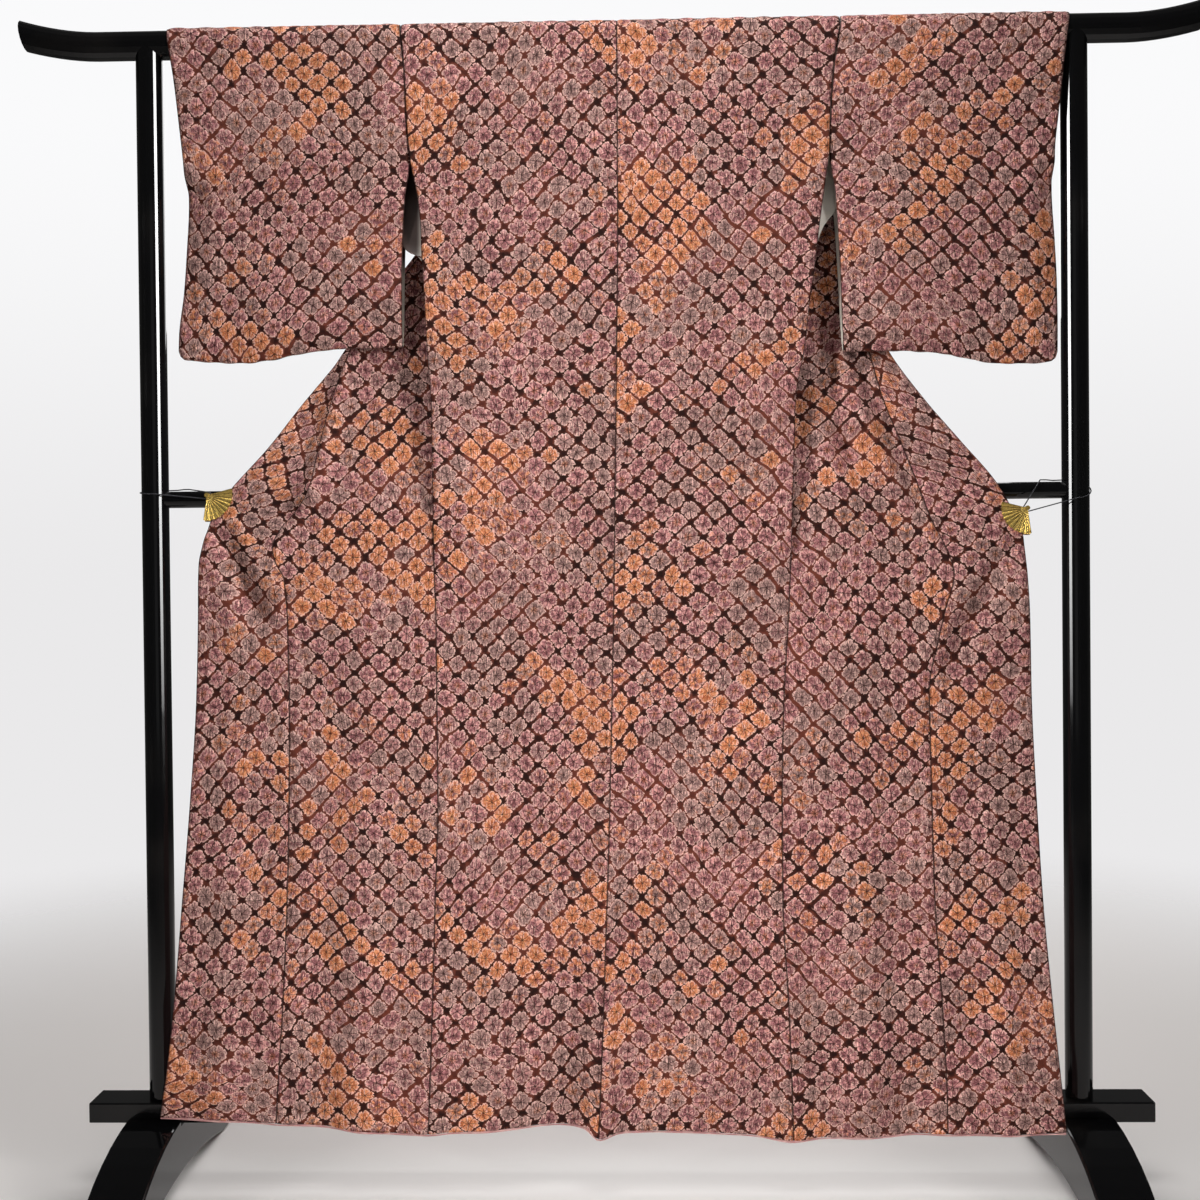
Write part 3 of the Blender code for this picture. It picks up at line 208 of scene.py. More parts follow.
def makeSilk(look):
    silk = Finish("dyedSilk")
    noise, smooth, mix = silk.noise, silk.smooth, silk.mix
    point, maths = silk.point, silk.maths
    across, along, _ = silk.apart(silk.node("UVMap", {"uv_map": "Cloth"}, {}))
    flat = point(across, along)
    pullA, pullB, _ = silk.apart(silk.other(noise(flat, 0.8, 1.0), "Color"))
    wobbleA, wobbleB, _ = silk.apart(silk.other(noise(flat, 4.5, 2.0), "Color"))
    pull, wobble, scatter = look["slantPull"], look["slantWobble"], look["scatter"]
    slantA = across + along + (pullA - 0.5) * pull + (wobbleA - 0.5) * wobble
    slantB = across - along + (pullB - 0.5) * pull + (wobbleB - 0.5) * wobble
    cellA, cellB = maths("FLOOR", slantA), maths("FLOOR", slantB)
    cell = point(cellA, cellB)
    chanceA, chanceB, chanceC = silk.apart(
        silk.node("TexWhiteNoise", {"noise_dimensions": "3D"}, {"Vector": cell}, 1)
    )
    inA = slantA - cellA - 0.5 + (chanceA - 0.5) * scatter
    inB = slantB - cellB - 0.5 + (chanceB - 0.5) * scatter
    x, y = (inA + inB) * look["diagonal"], (inA - inB) * look["diagonal"]
    away = maths("SQRT", x * x + y * y)
    angle = maths("ARCTAN2", y, x)
    fine = noise(flat, 17.0, 2.0)
    fineB = noise(point(across + 4.0, along), 11.0, 2.0)
    streak = noise(point(across * 1.7, along * 0.22), 15.0, 2.0)
    crowd = smooth(noise(point(across, along + 40.0), 0.21, 1.5), 0.46, 0.62)
    # the dye and the gaps drift along one slant, as the cloth was tied row by row
    band = noise(point(slantA * 0.10, slantB * 0.26), 1.0, 2.0)
    bandB = noise(point(slantA * 0.15 + 30.0, slantB * 0.34), 1.0, 2.0)

    # the rosette's edge: petals with a notch between them, round a softened square
    count = look["petals"] + maths("FLOOR", chanceC * 2.99)
    notch = abs(maths("SINE", (angle + chanceA * 2.0) * count * 0.5 + (fineB - 0.5) * 1.2))
    edge = look["radius"] + maths("COSINE", angle * 4.0) * 0.030
    edge = edge + (smooth(notch, 0.0, 0.60) - 1.0) * look["petalDepth"]
    edge = edge + (chanceB - 0.5) * 0.07 + (fine - 0.5) * 0.12 + crowd * 0.035
    gapA = smooth(band, 0.44, 0.62) * 0.075
    gapB = smooth(bandB, 0.50, 0.66) * 0.065
    inside = smooth(edge - away, -0.016, 0.020)
    inside = inside * smooth(abs(inA) + (fine - 0.5) * 0.06, 0.510 - gapA, 0.472 - gapA)
    inside = inside * smooth(abs(inB) + (fine - 0.5) * 0.06, 0.510 - gapB, 0.472 - gapB)

    # creases run out from the tie, and the one down the middle is the deepest
    spoke = notch * away * 0.29
    creased = (1.0 - smooth(spoke, 0.004, 0.026)) * smooth(fine, 0.28, 0.46)
    creased = creased * smooth(away, 0.50, 0.30)
    slit = 1.0 - smooth(abs(x + (fineB - 0.5) * 0.06), 0.004, 0.036)
    slit = slit * (1.0 - smooth(abs(y), 0.14, 0.38)) * (0.35 + chanceA * 0.65)
    pit = 1.0 - smooth(away, 0.02, 0.085)
    vein = 1.0 - smooth(abs(fineB - 0.5), 0.006, 0.032)
    dark = silk.most(creased * 0.95, slit * 0.92, pit * 0.85, vein * 0.42)

    # drifts of orange and grey rosettes among the mauve ones
    drift = noise(point(cellA * 0.6, cellB * 1.2), 0.21, 2.0)
    driftB = noise(point(cellA + 57.0, cellB - 31.0), 0.24, 2.0)
    petals = noise(flat, 5.0, 1.0)
    petalsB = noise(point(across + 9.0, along), 7.0, 2.0)
    heart = (1.0 - smooth(away, 0.06, 0.27)) * smooth(chanceB, 0.68, 0.76)
    orange = smooth(drift + (chanceC - 0.5) * 0.18 + (petals - 0.5) * 0.26, 0.555, 0.635)
    orange = silk.most(orange, heart * 0.55)
    grey = smooth(driftB + (chanceA - 0.5) * 0.26 + (petalsB - 0.5) * 0.40, 0.47, 0.60)
    light = smooth(petalsB * 0.55 + fine * 0.45, 0.40, 0.62)
    mauve = mix(light, look["mauveDark"], look["mauve"])
    mauve = mix(smooth(petals, 0.50, 0.66), mauve, look["mauveLight"])
    greys = mix(light, look["grey"], look["greyLight"])
    oranges = mix(light, look["orange"], look["orangeLight"])
    colour = mix(grey * 0.8, mauve, greys)
    colour = mix(orange * 0.92, colour, oranges)
    rim = smooth(away / edge, 0.74, 0.92) * smooth(fine, 0.34, 0.56)
    pale = silk.most(rim * 0.80, smooth(streak, 0.55, 0.68) * 0.85)
    colour = mix(pale, colour, look["outline"])
    colour = mix(dark, colour, look["crease"])

    # the bare ground shows as slanted lines, deepest where four rosettes meet
    star = smooth(abs(inA) * abs(inB), 0.13, 0.20)
    warm = smooth(noise(flat, 2.2, 2.0) + crowd * 0.16, 0.46, 0.64)
    ground = mix(warm, look["ground"], look["groundWarm"])
    ground = mix(star * (0.75 - crowd * 0.5), ground, look["groundDeep"])
    colour = mix(inside * (1.0 - smooth(streak, 0.38, 0.22) * 0.22), ground, colour)
    colour = silk.shade(colour, 0.30 + petalsB * 0.36 + streak * 0.44 + bandB * 0.50)
    sideA, sideB, _ = silk.apart(silk.node("UVMap", {"uv_map": "Edge"}, {}))
    seam = 1.0 - smooth(maths("MINIMUM", sideA, sideB), 0.0005, 0.0017)
    colour = mix(seam * 0.85, colour, look["seam"])

    weave = noise(flat, 120.0, 1.0)
    height = inside * (1.0 - (away / 0.5) ** 2.0) + fine * 0.30 - dark * 0.55 + weave * 0.10
    roughness = look["roughness"] + (fine - 0.5) * 0.2 + dark * 0.12
    normal = silk.bump(height, 0.0016, 0.9)
    return silk.surface(colour, roughness, normal, {"Specular IOR Level": look["gloss"]})


liningSilk = {
    "main": "#ded6cb",
    "lower": "#b98d8b",
    # the deep brown of the painted shade inside the left armhole
    "inside": "#3a2720",
    "change": 0.74,  # height where the main lining meets the rosy one
    "armhole": (1.36, 1.40, 0.275, 0.290, 0.350, 0.365),  # where the left armhole's lining is darkened with painted shade
    "crease": 0.0040,
}


def makeLining(look):
    lining = Finish("liningSilk")
    place = lining.place()
    sideways, _, height = lining.apart(place)
    weave = lining.noise(place, 900.0, 1.0)
    soft = lining.noise(place, 14.0, 3.0)
    lower = 1.0 - lining.smooth(height, look["change"] - 0.0015, look["change"] + 0.0015)
    colour = lining.mix(lower, look["main"], look["lower"])
    # painted shade: the lining inside the left armhole is darkened towards a deep brown
    low, high, near, nearEnd, far, farEnd = look["armhole"]
    paintedShade = lining.smooth(height, low, high) * lining.smooth(-sideways, near, nearEnd)
    paintedShade = paintedShade * lining.smooth(-sideways, farEnd, far)
    colour = lining.mix(paintedShade, colour, look["inside"])
    colour = lining.shade(colour, 0.90 + soft * 0.16 + weave * 0.05)
    normal = lining.bump(soft + weave * 0.05, look["crease"], 0.5)
    return lining.surface(colour, 0.55 + (soft - 0.5) * 0.2, normal, {"Sheen Weight": 0.1})


rosyTrim = {"colour": "#b07c7a", "light": "#c9a09a"}


def makeTrim(look):
    trim = Finish("rosyTrim")
    soft = trim.noise(trim.place(), 60.0, 2.0)
    colour = trim.mix(trim.smooth(soft, 0.4, 0.65), look["colour"], look["light"])
    return trim.surface(colour, 0.6 + (soft - 0.5) * 0.2, trim.bump(soft, 0.001, 0.5))


blackLacquer = {"colour": "#070708", "worn": "#131110", "roughness": 0.07, "gloss": 0.30}


def makeLacquer(look):
    lacquer = Finish("blackLacquer")
    place = lacquer.place()
    ripple = lacquer.noise(place, 30.0, 2.0)
    smudge = lacquer.noise(place, 5.0, 3.0)
    worn = lacquer.smooth(smudge, 0.55, 0.75)
    colour = lacquer.mix(worn, look["colour"], look["worn"])
    roughness = look["roughness"] + lacquer.smooth(smudge, 0.45, 0.8) * 0.12
    normal = lacquer.bump(ripple, 0.0003, 0.15)
    return lacquer.surface(colour, roughness, normal, {"Specular IOR Level": look["gloss"]})


# the fan clips: the hub, the depth and lean of the cloth held, and the first blade's angle
Clip = namedtuple("Clip", "name hubX hubZ clothY lean firstBlade")
clips = (
    Clip("left", -0.6050, 1.0375, -0.0253, 0.115, -97),
    Clip("right", 0.6120, 1.0050, -0.0288, 0.105, 165),
)
giltMetal = {
    "colour": "#edca70",
    "dull": "#a07c34",
    "gap": "#2c1f0c",
    # painted shade in the slots between the blades
    "roughness": 0.20,
    "blades": 10,
    "sweep": radians(112),
}


# each fan's blades are parted by slots that run out from its hub; painted shade darkens them, and
# they are rougher and cut in as a bump
def makeGilt(look, clip):
    gilt = Finish("giltMetal" + clip.name.capitalize())
    start = radians(clip.firstBlade)
    place = gilt.place()
    tarnish = gilt.noise(place, 160.0, 3.0)
    placeX, _, placeZ = gilt.apart(place)
    x, z = placeX - clip.hubX, placeZ - clip.hubZ
    away = gilt.maths("SQRT", x * x + z * z)
    aside, ahead = z * cos(start) - x * sin(start), x * cos(start) + z * sin(start)
    turned = gilt.maths("ARCTAN2", aside, ahead)
    slotAndShade = abs(gilt.maths("SINE", turned * (pi * look["blades"] / look["sweep"])))
    slotAndShade = (1.0 - gilt.smooth(slotAndShade * away, 0.004, 0.013)) * gilt.smooth(away, 0.007, 0.011)
    colour = gilt.mix(gilt.smooth(tarnish, 0.5, 0.75), look["colour"], look["dull"])
    # painted shade in the slots between the blades
    colour = gilt.mix(slotAndShade * 0.9, colour, look["gap"])
    roughness = look["roughness"] + (tarnish - 0.4) * 0.25 + slotAndShade * 0.4
    normal = gilt.bump(tarnish - slotAndShade * 2.0, 0.0004, 0.5)
    return gilt.surface(colour, roughness, normal, {"Metallic": 0.85})


elasticCord = {"colour": "#141416", "worn": "#34333a", "braid": 2200.0 / 6.0}


def makeCordFinish(look):
    cord = Finish("elasticCord")
    braid = cord.node(
        "TexWave", {"bands_direction": "DIAGONAL"},
        {"Vector": cord.place(), "Scale": look["braid"], "Distortion": 1.5, "Detail": 1.0},
    )
    colour = cord.mix(braid, look["colour"], look["worn"])
    return cord.surface(colour, 0.62, cord.bump(braid, 0.0003, 0.6))


finishes = {
    "silk": makeSilk(dyedSilk),
    "lining": makeLining(liningSilk),
    "trim": makeTrim(rosyTrim),
    "lacquer": makeLacquer(blackLacquer),
    "giltLeft": makeGilt(giltMetal, clips[0]),
    "giltRight": makeGilt(giltMetal, clips[1]),
    "cord": makeCordFinish(elasticCord),
}
print("finishes made")

# sizes of the cloth and of the stand that carries it, in metres
stand = {"barHeight": 1.718, "barRadius": 0.021, "barSides": 16}
cloth = {
    "wall": 0.002,
    "restGap": 0.0003,  # from the bar
    "layerGap": 0.00035,  # between the back and the front behind it
    "hemLevel": 0.085,
    "hemBlend": 0.170,  # above this height the rows of the cloth are level
    "neckTop": 1.65,
    "sideSeamTop": 1.385,
    "seamParts": 0.90,  # above this the front slips behind the back
    "seamFade": 0.06,
    "overlapTop": 1.476,
    "foldRadius": 0.0045,  # of the turn behind the back
    "foldFormsOver": 0.025,
    "rampLeast": 0.03,  # width over which the front comes out from the fold's depth
    "rampMore": 0.01,
    "turnSteps": 13,
    "legSteps": 71,
    "flapTop": 1.600,  # the front is turned in below this
    "flapFull": 1.582,
    "foldFade": 0.18,  # the share of its length that fades at each end
    "row": 0.0048,  # spacing of the rows of points
    "barRows": 16,
    "liningStep": 2,  # the lining takes every other row and column
    "strip": 2,  # columns of silk turned in round an edge
    "tuckedUnder": 0.0004,  # how far inside the wall that strip lies
    "liningDepth": 0.0001,
    "seamDip": 0.0010,
    "seamDipWidth": 0.0032,
    "flatEdge": 0.006,  # no rosette stands out nearer to an edge
}
wall, barTop = cloth["wall"], stand["barHeight"]
overBar = stand["barRadius"] + cloth["restGap"] + wall / 2
overBar /= cos(pi / stand["barSides"])
over = overBar * 1000

# how a clip holds the cloth: flat for a little way past its fan, with no crease near its jaws
grip = {"fan": 0.039, "flat": 0.012, "flatFade": 0.02, "crease": 0.004, "creaseFade": 0.012}


# columns read by the first one as smooth curves, with no overshoot between the rows. All tables
# are in millimetres, and a share is in thousandths
class Table:
    def __init__(self, names, *rows):
        self.keys, *columns = ([size / 1000 for size in column] for column in zip(*sorted(rows)))
        self.curves = {
            name: (values, self.slopes(values)) for name, values in zip(names.split()[1:], columns)
        }

    def slopes(self, values):
        keys = self.keys
        rises = [
            (values[i + 1] - values[i]) / (keys[i + 1] - keys[i]) for i in range(len(keys) - 1)
        ]
        inner = [0.0 if a * b <= 0 else 2 * a * b / (a + b) for a, b in zip(rises, rises[1:])]
        return [rises[0], *inner, rises[-1]]

    def at(self, name, key):
        keys, (values, slopes) = self.keys, self.curves[name]
        if key <= keys[0]:
            return values[0]
        if key >= keys[-1]:
            return values[-1]
        low = bisect_right(keys, key) - 1
        width = keys[low + 1] - keys[low]
        t = (key - keys[low]) / width
        return (
            values[low] * (1 + 2 * t) * (1 - t) ** 2
            + values[low + 1] * t * t * (3 - 2 * t)
            + slopes[low] * width * t * (1 - t) ** 2
            - slopes[low + 1] * width * t * t * (1 - t)
        )


# depth of each layer by height
hangs = Table(
    "z back front nearSleeve farSleeve",
    (70, -48, -48, -13, 6), (300, -45, -45, -13, 6), (580, -42, -42, -13, 6),
    (900, -40, -40, -13, 6), (935, -40, -37.5, -13, 6), (970, -40, -32.5, -13, 6),
    (1010, -40, -28.5, -13, 6), (1050, -39.5, -24, -13, 6), (1110, -36.5, -12, -13, 6),
    (1170, -33.5, 0, -13, 6), (1250, -30, 12.5, -13.5, 6.2), (1400, -26.2, 15, -17, 10),
    (1500, -24.5, 18.5, -20, 14), (1600, -23.5, 21, -22.2, 19), (1718, -over, over, -over, over),
)

# the front's hidden part: its own side edge, and the fold that lies behind the back
tucks = Table(
    "z sideY foldY",
    (935, -37.7, -36), (985, -37.7, -35), (1040, -37.4, -32.5), (1110, -34, -28.5),
    (1170, -31, -24.5), (1255, -27.5, -20), (1310, -26, -16.5), (1385, -24.2, -13),
    (1400, -13, -11), (1430, -6, -8), (1480, 1, -2), (1505, 8, 1),
    (1520, 11.5, 3.5), (1530, 15.2, 5), (1582, 18.2, 11.5), (1600, 19, 14),
    (1660, 21.2, 20), (1718, over, over),
)

# distances out from the middle: the back's edge, the overlap's seam and the front edge. The fold,
# the front's own side edge and the neck edge's height follow where they differ
def levelTable(*rows):
    def filled(z, back, okumi, edge, fold=None, side=None, innerZ=None):
        return z, back, okumi, edge, fold or back, side or back, innerZ or z

    names = "z back okumi edge fold side innerZ"
    return Table(names, *(filled(*row) for row in rows))


leftLevels = levelTable(
    (85, 279.4, 506.4, 678), (130, 277.6, 504.8, 674.2), (280, 272, 495.2, 658),
    (430, 266.8, 487.7, 645), (580, 261.6, 483.5, 632), (730, 261.8, 481.5, 621),
    (850, 261.9, 482.8, 617), (910, 263.5, 487, 616.2), (935, 264, 498.5, 615.5),
    (960, 264.5, 504.5, 611), (985, 264.8, 494.5, 604), (1010, 265, 472.5, 594, 254),
    (1040, 265.2, 449, 574.5, 242.5), (1110, 266, 436, 515, 230.5),
    (1170, 266.9, 422.5, 470, 217.5), (1255, 272.5, 395, 404, 197.5), (1310, 275.2, 355, 363, 185),
    (1362, 277.7, 318, 326, 171), (1385, 279.2, 299.5, 307.5, 168),
    (1400, 279.9, 288, 295.5, 167, 303), (1430, 280.5, 265, 273, 163, 319.5),
    (1480, 285, 235, 235, 152, 314), (1505, 290.2, 216.5, 216.5, 150, 303),
    (1520, 293.3, 205.4, 205.4, 148.2, 297), (1530, 295.4, 198, 198, 147),
    (1600, 300.5, 148, 148, 143.5), (1660, 302.5, 106, 106, 106),
    (1690, 304.5, 76, 76, 76, None, 1692), (1706, 305.5, 36, 36, 36, None, 1709),
    (1718, 307.5, -13.8, -13.8, -13.8),
)
rightLevels = levelTable(
    (85, 258.3, 484.7, 653.5), (130, 257.5, 484.5, 650.7), (280, 253.2, 478.5, 637.9),
    (430, 246.6, 469.5, 626.6), (580, 247.1, 466.5, 619.6), (730, 251.5, 464.5, 613.7),
    (850, 259, 485.6, 612.2), (910, 262, 501.4, 609), (935, 263.5, 496.5, 607),
    (960, 264.7, 485, 605.5, 255.5), (985, 265.8, 472.2, 598, 252),
    (1010, 266.5, 463.6, 587.3, 250), (1040, 267.5, 453.7, 571, 245.5),
    (1110, 270.8, 430, 516, 235.5), (1170, 273.5, 408.6, 469, 226), (1255, 288.6, 386, 413, 222.5),
    (1310, 295.2, 366, 388, 209), (1362, 303, 352, 371, 194.5), (1385, 305.8, 347, 365, 194),
    (1400, 307.8, 344, 361, 196, 308.3), (1430, 311.5, 339, 353, 192.5, 320),
    (1455, 315, 336, 344.5, 185, 339), (1480, 318.8, 323, 323, 178, 345),
    (1505, 322.6, 291, 291, 174.5, 334.5), (1520, 324.9, 271, 271, 172.4, 327.7),
    (1530, 326.4, 257, 257, 171), (1600, 328.8, 172, 172, 167.5), (1660, 334, 134, 134, 134),
    (1690, 338, 104, 104, 104, None, 1692), (1706, 341, 64, 64, 64, None, 1709),
    (1718, 343.5, 14.2, 14.2, 14.2),
)

# the centre back seam leans a little to the left on its way down
centres = Table(
    "z x",
    (80, -27.6), (280, -18.2), (580, -6.5), (875, 1.9), (1170, 7.9), (1465, 12.9), (1718, 14),
)

# height of the hem
hems = Table(
    "x z",
    (-677, 115.5), (-508, 103.5), (-412, 96.7), (-321, 88.6), (-278, 89.4), (-204, 92.1),
    (-115, 97.8), (-48, 97), (-27, 88), (18, 91.4), (78, 91.6), (180, 87.3),
    (253, 81.2), (363, 84), (484, 87.6), (559, 87), (653, 95.2),
)

# folds of the hanging cloth: top, foot, width at both, and how far each stands out at both
Fold = namedtuple("Fold", "topX topZ footX footZ topWidth footWidth topRise footRise")


def foldsOf(*rows):
    return [Fold(*(size / 1000 for size in row)) for row in rows]


folds = foldsOf(
    # the back: the centre seam's ridge, the valley beside it and the left swell
    (0, 1000, -27, 70, 18, 20, 3, 26), (-55, 1050, -85, 70, 35, 45, -2, -13),
    (-180, 1000, -200, 70, 50, 50, 0, 4),
    # the seams at both sides and of both overlaps, and the flared corners
    (-262, 600, -279, 70, 22, 25, 0, 9), (250, 750, 257, 70, 22, 28, 0, 12),
    (-484, 700, -506, 70, 30, 30, 0, 4), (466, 700, 485, 70, 30, 30, 0, 5),
    (-690, 600, -695, 70, 60, 60, 0, 10), (650, 600, 665, 70, 60, 60, 0, 19),
    # the left front: the ridge, its foot, the hollow past it, the clip's fold and its lip
    (-398, 1250, -443, 1045, 14, 14, 7, 12), (-447, 1040, -505, 930, 14, 16, 7, 3),
    (-424, 1230, -484, 1020, 20, 26, -3, -7), (-580, 1020, -527, 860, 13, 20, -5, -6),
    (-605, 1010, -560, 820, 14, 24, 3, 6),
    # the right front, in the same order
    (346, 1245, 369, 1140, 13, 14, 5, 12), (369, 1140, 466, 970, 14, 18, 11, 8),
    (370, 1240, 450, 1010, 15, 20, -8, -14), (582, 1010, 500, 760, 14, 24, -6, -10),
    (555, 1010, 470, 800, 14, 22, 3, 6),
)

# the sleeves: outer edge and free inner edge by height, and the lower edge from inside to outside
sleeveEdges = Table(
    "z leftInner leftOuter rightInner rightOuter",
    (1220, 312.2, 653, 348.5, 665), (1280, 311.5, 651, 345, 665.5),
    (1345, 310.5, 642.5, 342.5, 664.5), (1400, 309.2, 638, 340, 662),
    (1480, 304, 633.5, 334.5, 657.8), (1530, 296, 636, 327, 658.2),
    (1590, 300.8, 641.5, 329, 664), (1660, 303.1, 649, 334.6, 672),
    (1718, 308.1, 658, 344.1, 679), (1740, 310.6, 661, 346.1, 683),
)
sleeveHems = Table(
    "share left right",
    (0, 1259, 1244), (250, 1258.6, 1244.5), (450, 1252, 1240), (600, 1242.5, 1230),
    (720, 1239, 1223.5), (900, 1242, 1223), (970, 1245.5, 1225.5), (1000, 1256, 1238),
)
sleeveFolds = foldsOf(
    # one diagonal in each
    (-300, 1380, -520, 1220, 35, 40, 3, 5), (330, 1370, 530, 1200, 35, 40, 3, 5),
)

# soft creases that the scene adds to the folds above
creases = foldsOf(
    # the left front: pulls to the clip, from the edge down
    (-430, 1215, -572, 1070, 11, 7, 1.4, 3.6), (-440, 1165, -560, 1052, 11, 8, -1.6, -4),
    (-462, 1118, -556, 1034, 11, 8, 1, 3.6), (-475, 1060, -552, 1012, 12, 8, -1, -3.4),
    (-568, 998, -508, 895, 10, 18, 7.5, 8),
    # its ridge and the hollows and ridge beside it, under the clip and at the seam's bend
    (-404, 1215, -460, 1030, 26, 34, 5, 12), (-417, 1220, -470, 1030, 11, 18, -3, -5),
    (-368, 1250, -412, 1060, 13, 20, -3, -5), (-330, 1240, -372, 1060, 12, 20, 1.6, 4),
    (-600, 1000, -530, 860, 9, 17, -6, -10), (-500, 945, -497, 780, 12, 18, 5, 2),
    # the right front: pulls to the clip, from the edge down
    (446, 1190, 584, 1040, 11, 7, 1.4, 3.6), (440, 1145, 572, 1024, 11, 8, -1.6, -4),
    (455, 1100, 566, 1004, 11, 8, 1, 3.4), (572, 975, 518, 865, 10, 18, 7, 7.5),
    # its ridge, the hollows and ridge beside it, and the hollow under the clip
    (356, 1215, 444, 1010, 24, 32, 5, 12.5), (322, 1270, 350, 1090, 12, 18, -8, -11),
    (348, 1100, 440, 970, 14, 16, -8, -3), (292, 1220, 338, 1020, 12, 18, 4.5, 10.5),
    (268, 1160, 314, 990, 12, 18, -2, -4), (370, 1230, 442, 1020, 12, 17, -3, -4),
    (602, 970, 530, 820, 9, 17, -5, -4),
    # drapes below the shoulders, left and right
    (-110, 1450, -160, 950, 30, 50, 1.5, 3), (150, 1500, 180, 1000, 26, 45, 1.4, -3),
    # the back's troughs and its right ridge
    (-130, 1200, -150, 450, 22, 34, -1.2, -9.5), (90, 1100, 70, 300, 20, 34, -1, -10),
    (140, 980, 150, 200, 22, 34, 1.2, 15),
    # ridges and troughs of the skirt, and a ridge in each overlap
    (-350, 950, -385, 150, 20, 36, 1.4, 14), (-415, 860, -440, 150, 18, 32, -1.2, -8.5),
    (345, 900, 370, 150, 20, 36, 1.4, 14.5), (410, 840, 425, 150, 18, 32, -1.2, -9),
    (-560, 800, -590, 150, 16, 32, 1.2, 12), (545, 780, 575, 150, 16, 30, 1.4, 12.5),
)
sleeveCreases = foldsOf(
    # two in the left sleeve and two in the right one
    (-400, 1660, -430, 1300, 20, 30, 0.8, 2.6), (-560, 1640, -580, 1280, 18, 26, 0.8, -2.4),
    (420, 1660, 410, 1300, 20, 28, 0.8, 2.6), (560, 1650, 600, 1280, 18, 28, 0.8, -2.2),
)


def clamp(t):
    return min(max(t, 0.0), 1.0)


def ease(t):
    t = clamp(t)
    return t * t * (3 - 2 * t)


# how far the folds stand out towards the viewer
def relief(x, z, group):
    total, fade = 0.0, cloth["foldFade"]
    for fold in group:
        t = (fold.topZ - z) / (fold.topZ - fold.footZ)
        if not -fade < t < 1 + fade:
            continue
        middle = fold.topX + (fold.footX - fold.topX) * t
        width = fold.topWidth + (fold.footWidth - fold.topWidth) * t
        off = (x - middle) / width
        if abs(off) > 3:
            continue
        rise = fold.topRise + (fold.footRise - fold.topRise) * clamp(t)
        rise *= ease((t + fade) / fade) * ease((1 + fade - t) / fade)
        total += rise * exp(-off * off)
    return total


def backDepth(x, z):
    return hangs.at("back", z) - relief(x, z, folds) - relief(x, z, creases)


# the cloth under a clip leans as it does at the clip's own height
def frontDepth(x, z):
    y = hangs.at("front", z) - relief(x, z, folds)
    loose = 1.0
    for clip in clips:
        away = dist((x, z), (clip.hubX, clip.hubZ)) - grip["fan"]
        held = 1 - ease((away - grip["flat"]) / grip["flatFade"])
        if held > 0:
            y += (clip.clothY + clip.lean * (z - clip.hubZ) - y) * held
            loose = ease((away - grip["crease"]) / grip["creaseFade"])
    return y - relief(x, z, creases) * loose


def centreSeam(z):
    return centres.at("x", z)


# below the last level row the cloth is drawn to the height of its hem
def atHem(x, z):
    level, blend = cloth["hemLevel"], cloth["hemBlend"]
    return z + (hems.at("z", x) - level) * clamp((blend - z) / (blend - level))


class Side:
    def __init__(self, name, sign, levels, foldFoot):
        self.name, self.sign, self.levels, self.foldFoot = name, sign, levels, foldFoot

    def out(self, column, z):
        return self.levels.at(column, z)

    # the front's side edge, which lies behind the back's edge below the sleeve
    def frontStart(self, z):
        if z > cloth["sideSeamTop"]:
            return self.out("side", z), tucks.at("sideY", z)
        out = self.out("back", z)
        behind = (wall + cloth["layerGap"]) * ease((z - cloth["seamParts"]) / cloth["seamFade"])
        return out, backDepth(self.sign * out, z) + behind

    # the front's hidden start: its inner leg and the turn of its fold, from the side edge in
    def hiddenStart(self, z):
        start, radius = self.frontStart(z), cloth["foldRadius"]
        turned = pi * clamp((z - self.foldFoot) / cloth["foldFormsOver"])
        if turned == 0:
            return [start]
        if turned < pi:
            centre = (start[0] + radius * sin(turned), start[1] - radius * cos(turned))
            first, last, path = pi - turned, pi, []
        else:
            top, full = cloth["flapTop"], cloth["flapFull"]
            centre = (self.out("fold", z) + radius, tucks.at("foldY", z) + radius)
            first, last, path = 0.0, pi * clamp((top - z) / (top - full)), [start]
        for angle in np.linspace(first, last, cloth["turnSteps"]):
            path.append((centre[0] - radius * sin(angle), centre[1] - radius * cos(angle)))
        return path

    # depth of the front from its fold outwards
    def outerLegDepth(self, out, z, first=None):
        firstOut, firstY = first or self.hiddenStart(min(z, cloth["flapFull"]))[-1]
        if z > cloth["flapFull"]:
            firstY = hangs.at("front", z)
        ramp = self.out("side", z) - self.out("fold", z) + cloth["rampMore"]
        ramp = max(cloth["rampLeast"], ramp)
        openY = frontDepth(self.sign * out, z)
        return firstY + (openY - firstY) * ease((out - firstOut) / ramp)

    # the front's section at one height, from the overlap's seam or the neck out to its side edge
    def frontPath(self, z):
        okumi = self.out("okumi", z)
        if z >= cloth["flapTop"]:
            return [(okumi, tucks.at("foldY", z)), self.frontStart(z)]
        path = self.hiddenStart(z)
        if z <= cloth["flapFull"]:
            first = path[-1]
            outs = np.linspace(first[0], okumi, cloth["legSteps"])[1:]
            path += [(out, self.outerLegDepth(out, z, first)) for out in outs]
        return path[::-1]


sides = (Side("left", -1, leftLevels, 0.985), Side("right", 1, rightLevels, 0.935))


# points at even steps of a path's length, closer where it turns
def shareOut(path, count, turnWeight=0.012):
    path = np.array(path)
    steps = np.diff(path, axis=0)
    heading = np.unwrap(np.arctan2(steps[:, 1], steps[:, 0]))
    turns = np.append(np.abs(np.diff(heading)), 0.0)
    lengths = np.hypot(steps[:, 0], steps[:, 1])
    weights = np.append(0.0, np.cumsum(lengths + turnWeight * turns))
    wanted = np.linspace(0, weights[-1], count)
    return np.stack([np.interp(wanted, weights, column) for column in path.T], axis=1)


def heightsBetween(low, high):
    return np.linspace(low, high, max(2, int(round((high - low) / cloth["row"])) + 1))


# the turn over the bar to the far side: angle, depth and height
def overTheBar():
    for step in range(cloth["barRows"] + 1):
        angle = pi * (1 - step / cloth["barRows"])
        yield angle, overBar * cos(angle), barTop + overBar * sin(angle)


